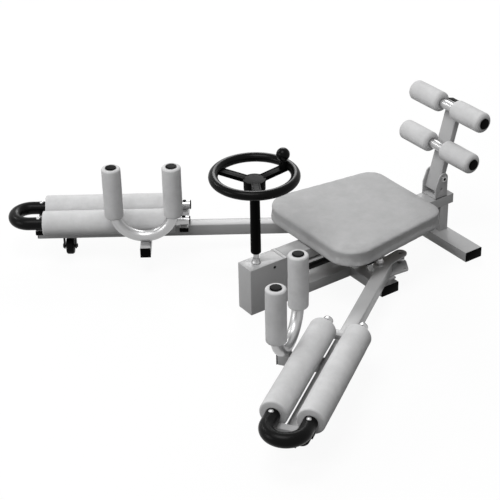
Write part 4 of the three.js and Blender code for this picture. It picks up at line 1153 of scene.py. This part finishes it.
lever = {
    "pivot": (0.0, 311.5, 205.0), "tilt": 15.6, "half": 25.0, "axisY": -23.8,
    "tube": [((-25.0, -10.0, -44.0), (25.0, 10.0, 227.0), 2.4)],
    "topPlug": [((-25.0, -10.0, 227.0), (25.0, 10.0, 230.0), 1.4)],
    "bar": 13.5, "barHalf": 147.0, "upper": 213.0, "lower": 90.5, "pad": 30.0, "padEdge": 12.5, "padGap": 2.5,
    "barCap": 16.0, "barCapHeight": 4.5,
}
bracket = {
    "earFront": 27.5, "earTop": 17.0, "earHole": 6.3, "earArc": 150.0, "shoulder": 38.0, "earThick": 4.0,
    "earEdge": 0.7, "halfRail": 30.0, "rail": 143.0, "base": 4.0, "baseRise": 0.2, "baseEdge": 0.8,
    "lockForward": 6.0, "lockBelow": 33.0, "lockRadius": 4.0, "boltEdge": 0.7, "socketShadeEdge": 0.2,
    "bolt": [
        (0, -30.5), (6, -30.5), (6, 30.3), (10.5, 30.3), (10.5, 31.6), (8.5, 31.6), (8.5, 35.3), (0, 35.3),
    ],
    "nut": [(0, -35.3), (8.8, -35.3), (8.8, -30.4), (0, -30.4)],
    # the socket is a flat black hexagon on the bolt head, painted shade standing in for the hollow of a hex
    # socket
    "socket": [(0, 35.0), (5.0, 35.0), (5.0, 35.6), (0, 35.6)],
}


def addBracketPlates(shape):
    # two ears on a base plate, each with the pivot hole and the lock hole
    _, y, pivotZ = lever["pivot"]
    rail, halfRail, thick = bracket["rail"], bracket["halfRail"], bracket["earThick"]
    front, radius, rise = bracket["earFront"], bracket["earTop"], pivotZ - rail
    outline = [(-front, 0), (radius, 0)]
    for turn in [i / 24 * math.radians(bracket["earArc"]) for i in range(25)]:
        outline.append((radius * math.cos(turn), rise + radius * math.sin(turn)))
    outline.append((-front, bracket["shoulder"]))
    holes = [(0, rise, bracket["earHole"])]
    holes.append((-bracket["lockForward"], rise - bracket["lockBelow"], bracket["lockRadius"]))
    for near in (halfRail - thick, -halfRail):
        turn = Matrix(((0, 0, 1, near), (1, 0, 0, y), (0, 1, 0, rail), (0, 0, 0, 1)))
        addPlate(shape, outline, 0, thick, holes, bracket["earEdge"], turn)
    low = (-halfRail, y - front, rail + bracket["baseRise"])
    addBox(shape, low, (halfRail, y + radius, rail + bracket["base"]), bracket["baseEdge"])


def dressBracket():
    shape = bmesh.new()
    addBracketPlates(shape)
    finishPiece(shape, "leverBracket", "framePaint", "frame", ("lever_bracket",))
    shape = bmesh.new()
    across = turnTo((1, 0, 0), lever["pivot"])
    addTurned(shape, bracket["bolt"], bracket["boltEdge"], across, 32)
    addTurned(shape, bracket["nut"], bracket["boltEdge"], across, 6)
    finishPiece(shape, "leverPivotBolt", "zincSteel", "frame", ("lever_pivot_bolt",))
    # painted shade: a black hexagon flush with the bolt head stands in for the shaded hollow of its hex
    # socket
    shape = bmesh.new()
    addTurned(shape, bracket["socket"], bracket["socketShadeEdge"], across, 6)
    finishPiece(shape, "pivotSocket", "blackPlastic", "frame")


def dressBackPad(place, level, side, way, seed):
    # the foam pad on one end of a chrome bar, and the cap beyond it
    spot = Vector((0, lever["axisY"], lever[level]))
    start, end = lever["half"] + lever["padGap"], lever["barHalf"]
    sizes = (lever["bar"], lever["pad"], end - start, lever["padEdge"])
    spot.x = way * start
    name, node = f"backPad{level.title()}{side.title()}", f"back_pad_{level}_{side}"
    foamSleeve(name, "back_lever", node, sizes, place @ turnTo((way, 0, 0), spot), False, seed)
    shape = bmesh.new()
    addPlug(shape, lever["barCap"], lever["barCapHeight"], steps=40)
    spot.x = way * (end + clearance)
    name, node = f"backCap{level.title()}{side.title()}", f"back_cap_{level}_{side}"
    finishPiece(shape, name, "blackPlastic", "back_lever", (node,), place=place @ turnTo((way, 0, 0), spot))


def dressLever():
    place = Matrix.Translation(lever["pivot"]) @ Matrix.Rotation(-math.radians(lever["tilt"]), 4, "X")
    for name, look, node, boxes in (
        ("leverTube", "framePaint", "back_lever", lever["tube"]),
        ("leverCap", "blackPlastic", "lever_cap", lever["topPlug"]),
    ):
        shape = bmesh.new()
        addBoxes(shape, boxes)
        finishPiece(shape, name, look, "back_lever", (node,), place=place)
    for level in ("upper", "lower"):
        line = [place @ Vector((way * lever["barHalf"], lever["axisY"], lever[level])) for way in (-1, 1)]
        name, node = f"backBar{level.title()}", f"back_bar_{level}"
        tubePiece(line, lever["bar"], name, "chromePlate", "back_lever", (node,))
        for side, way in sides:
            dressBackPad(place, level, side, way, seed=40 + way + len(level) * 3)


dressBracket()
dressLever()
print("back lever dressed")
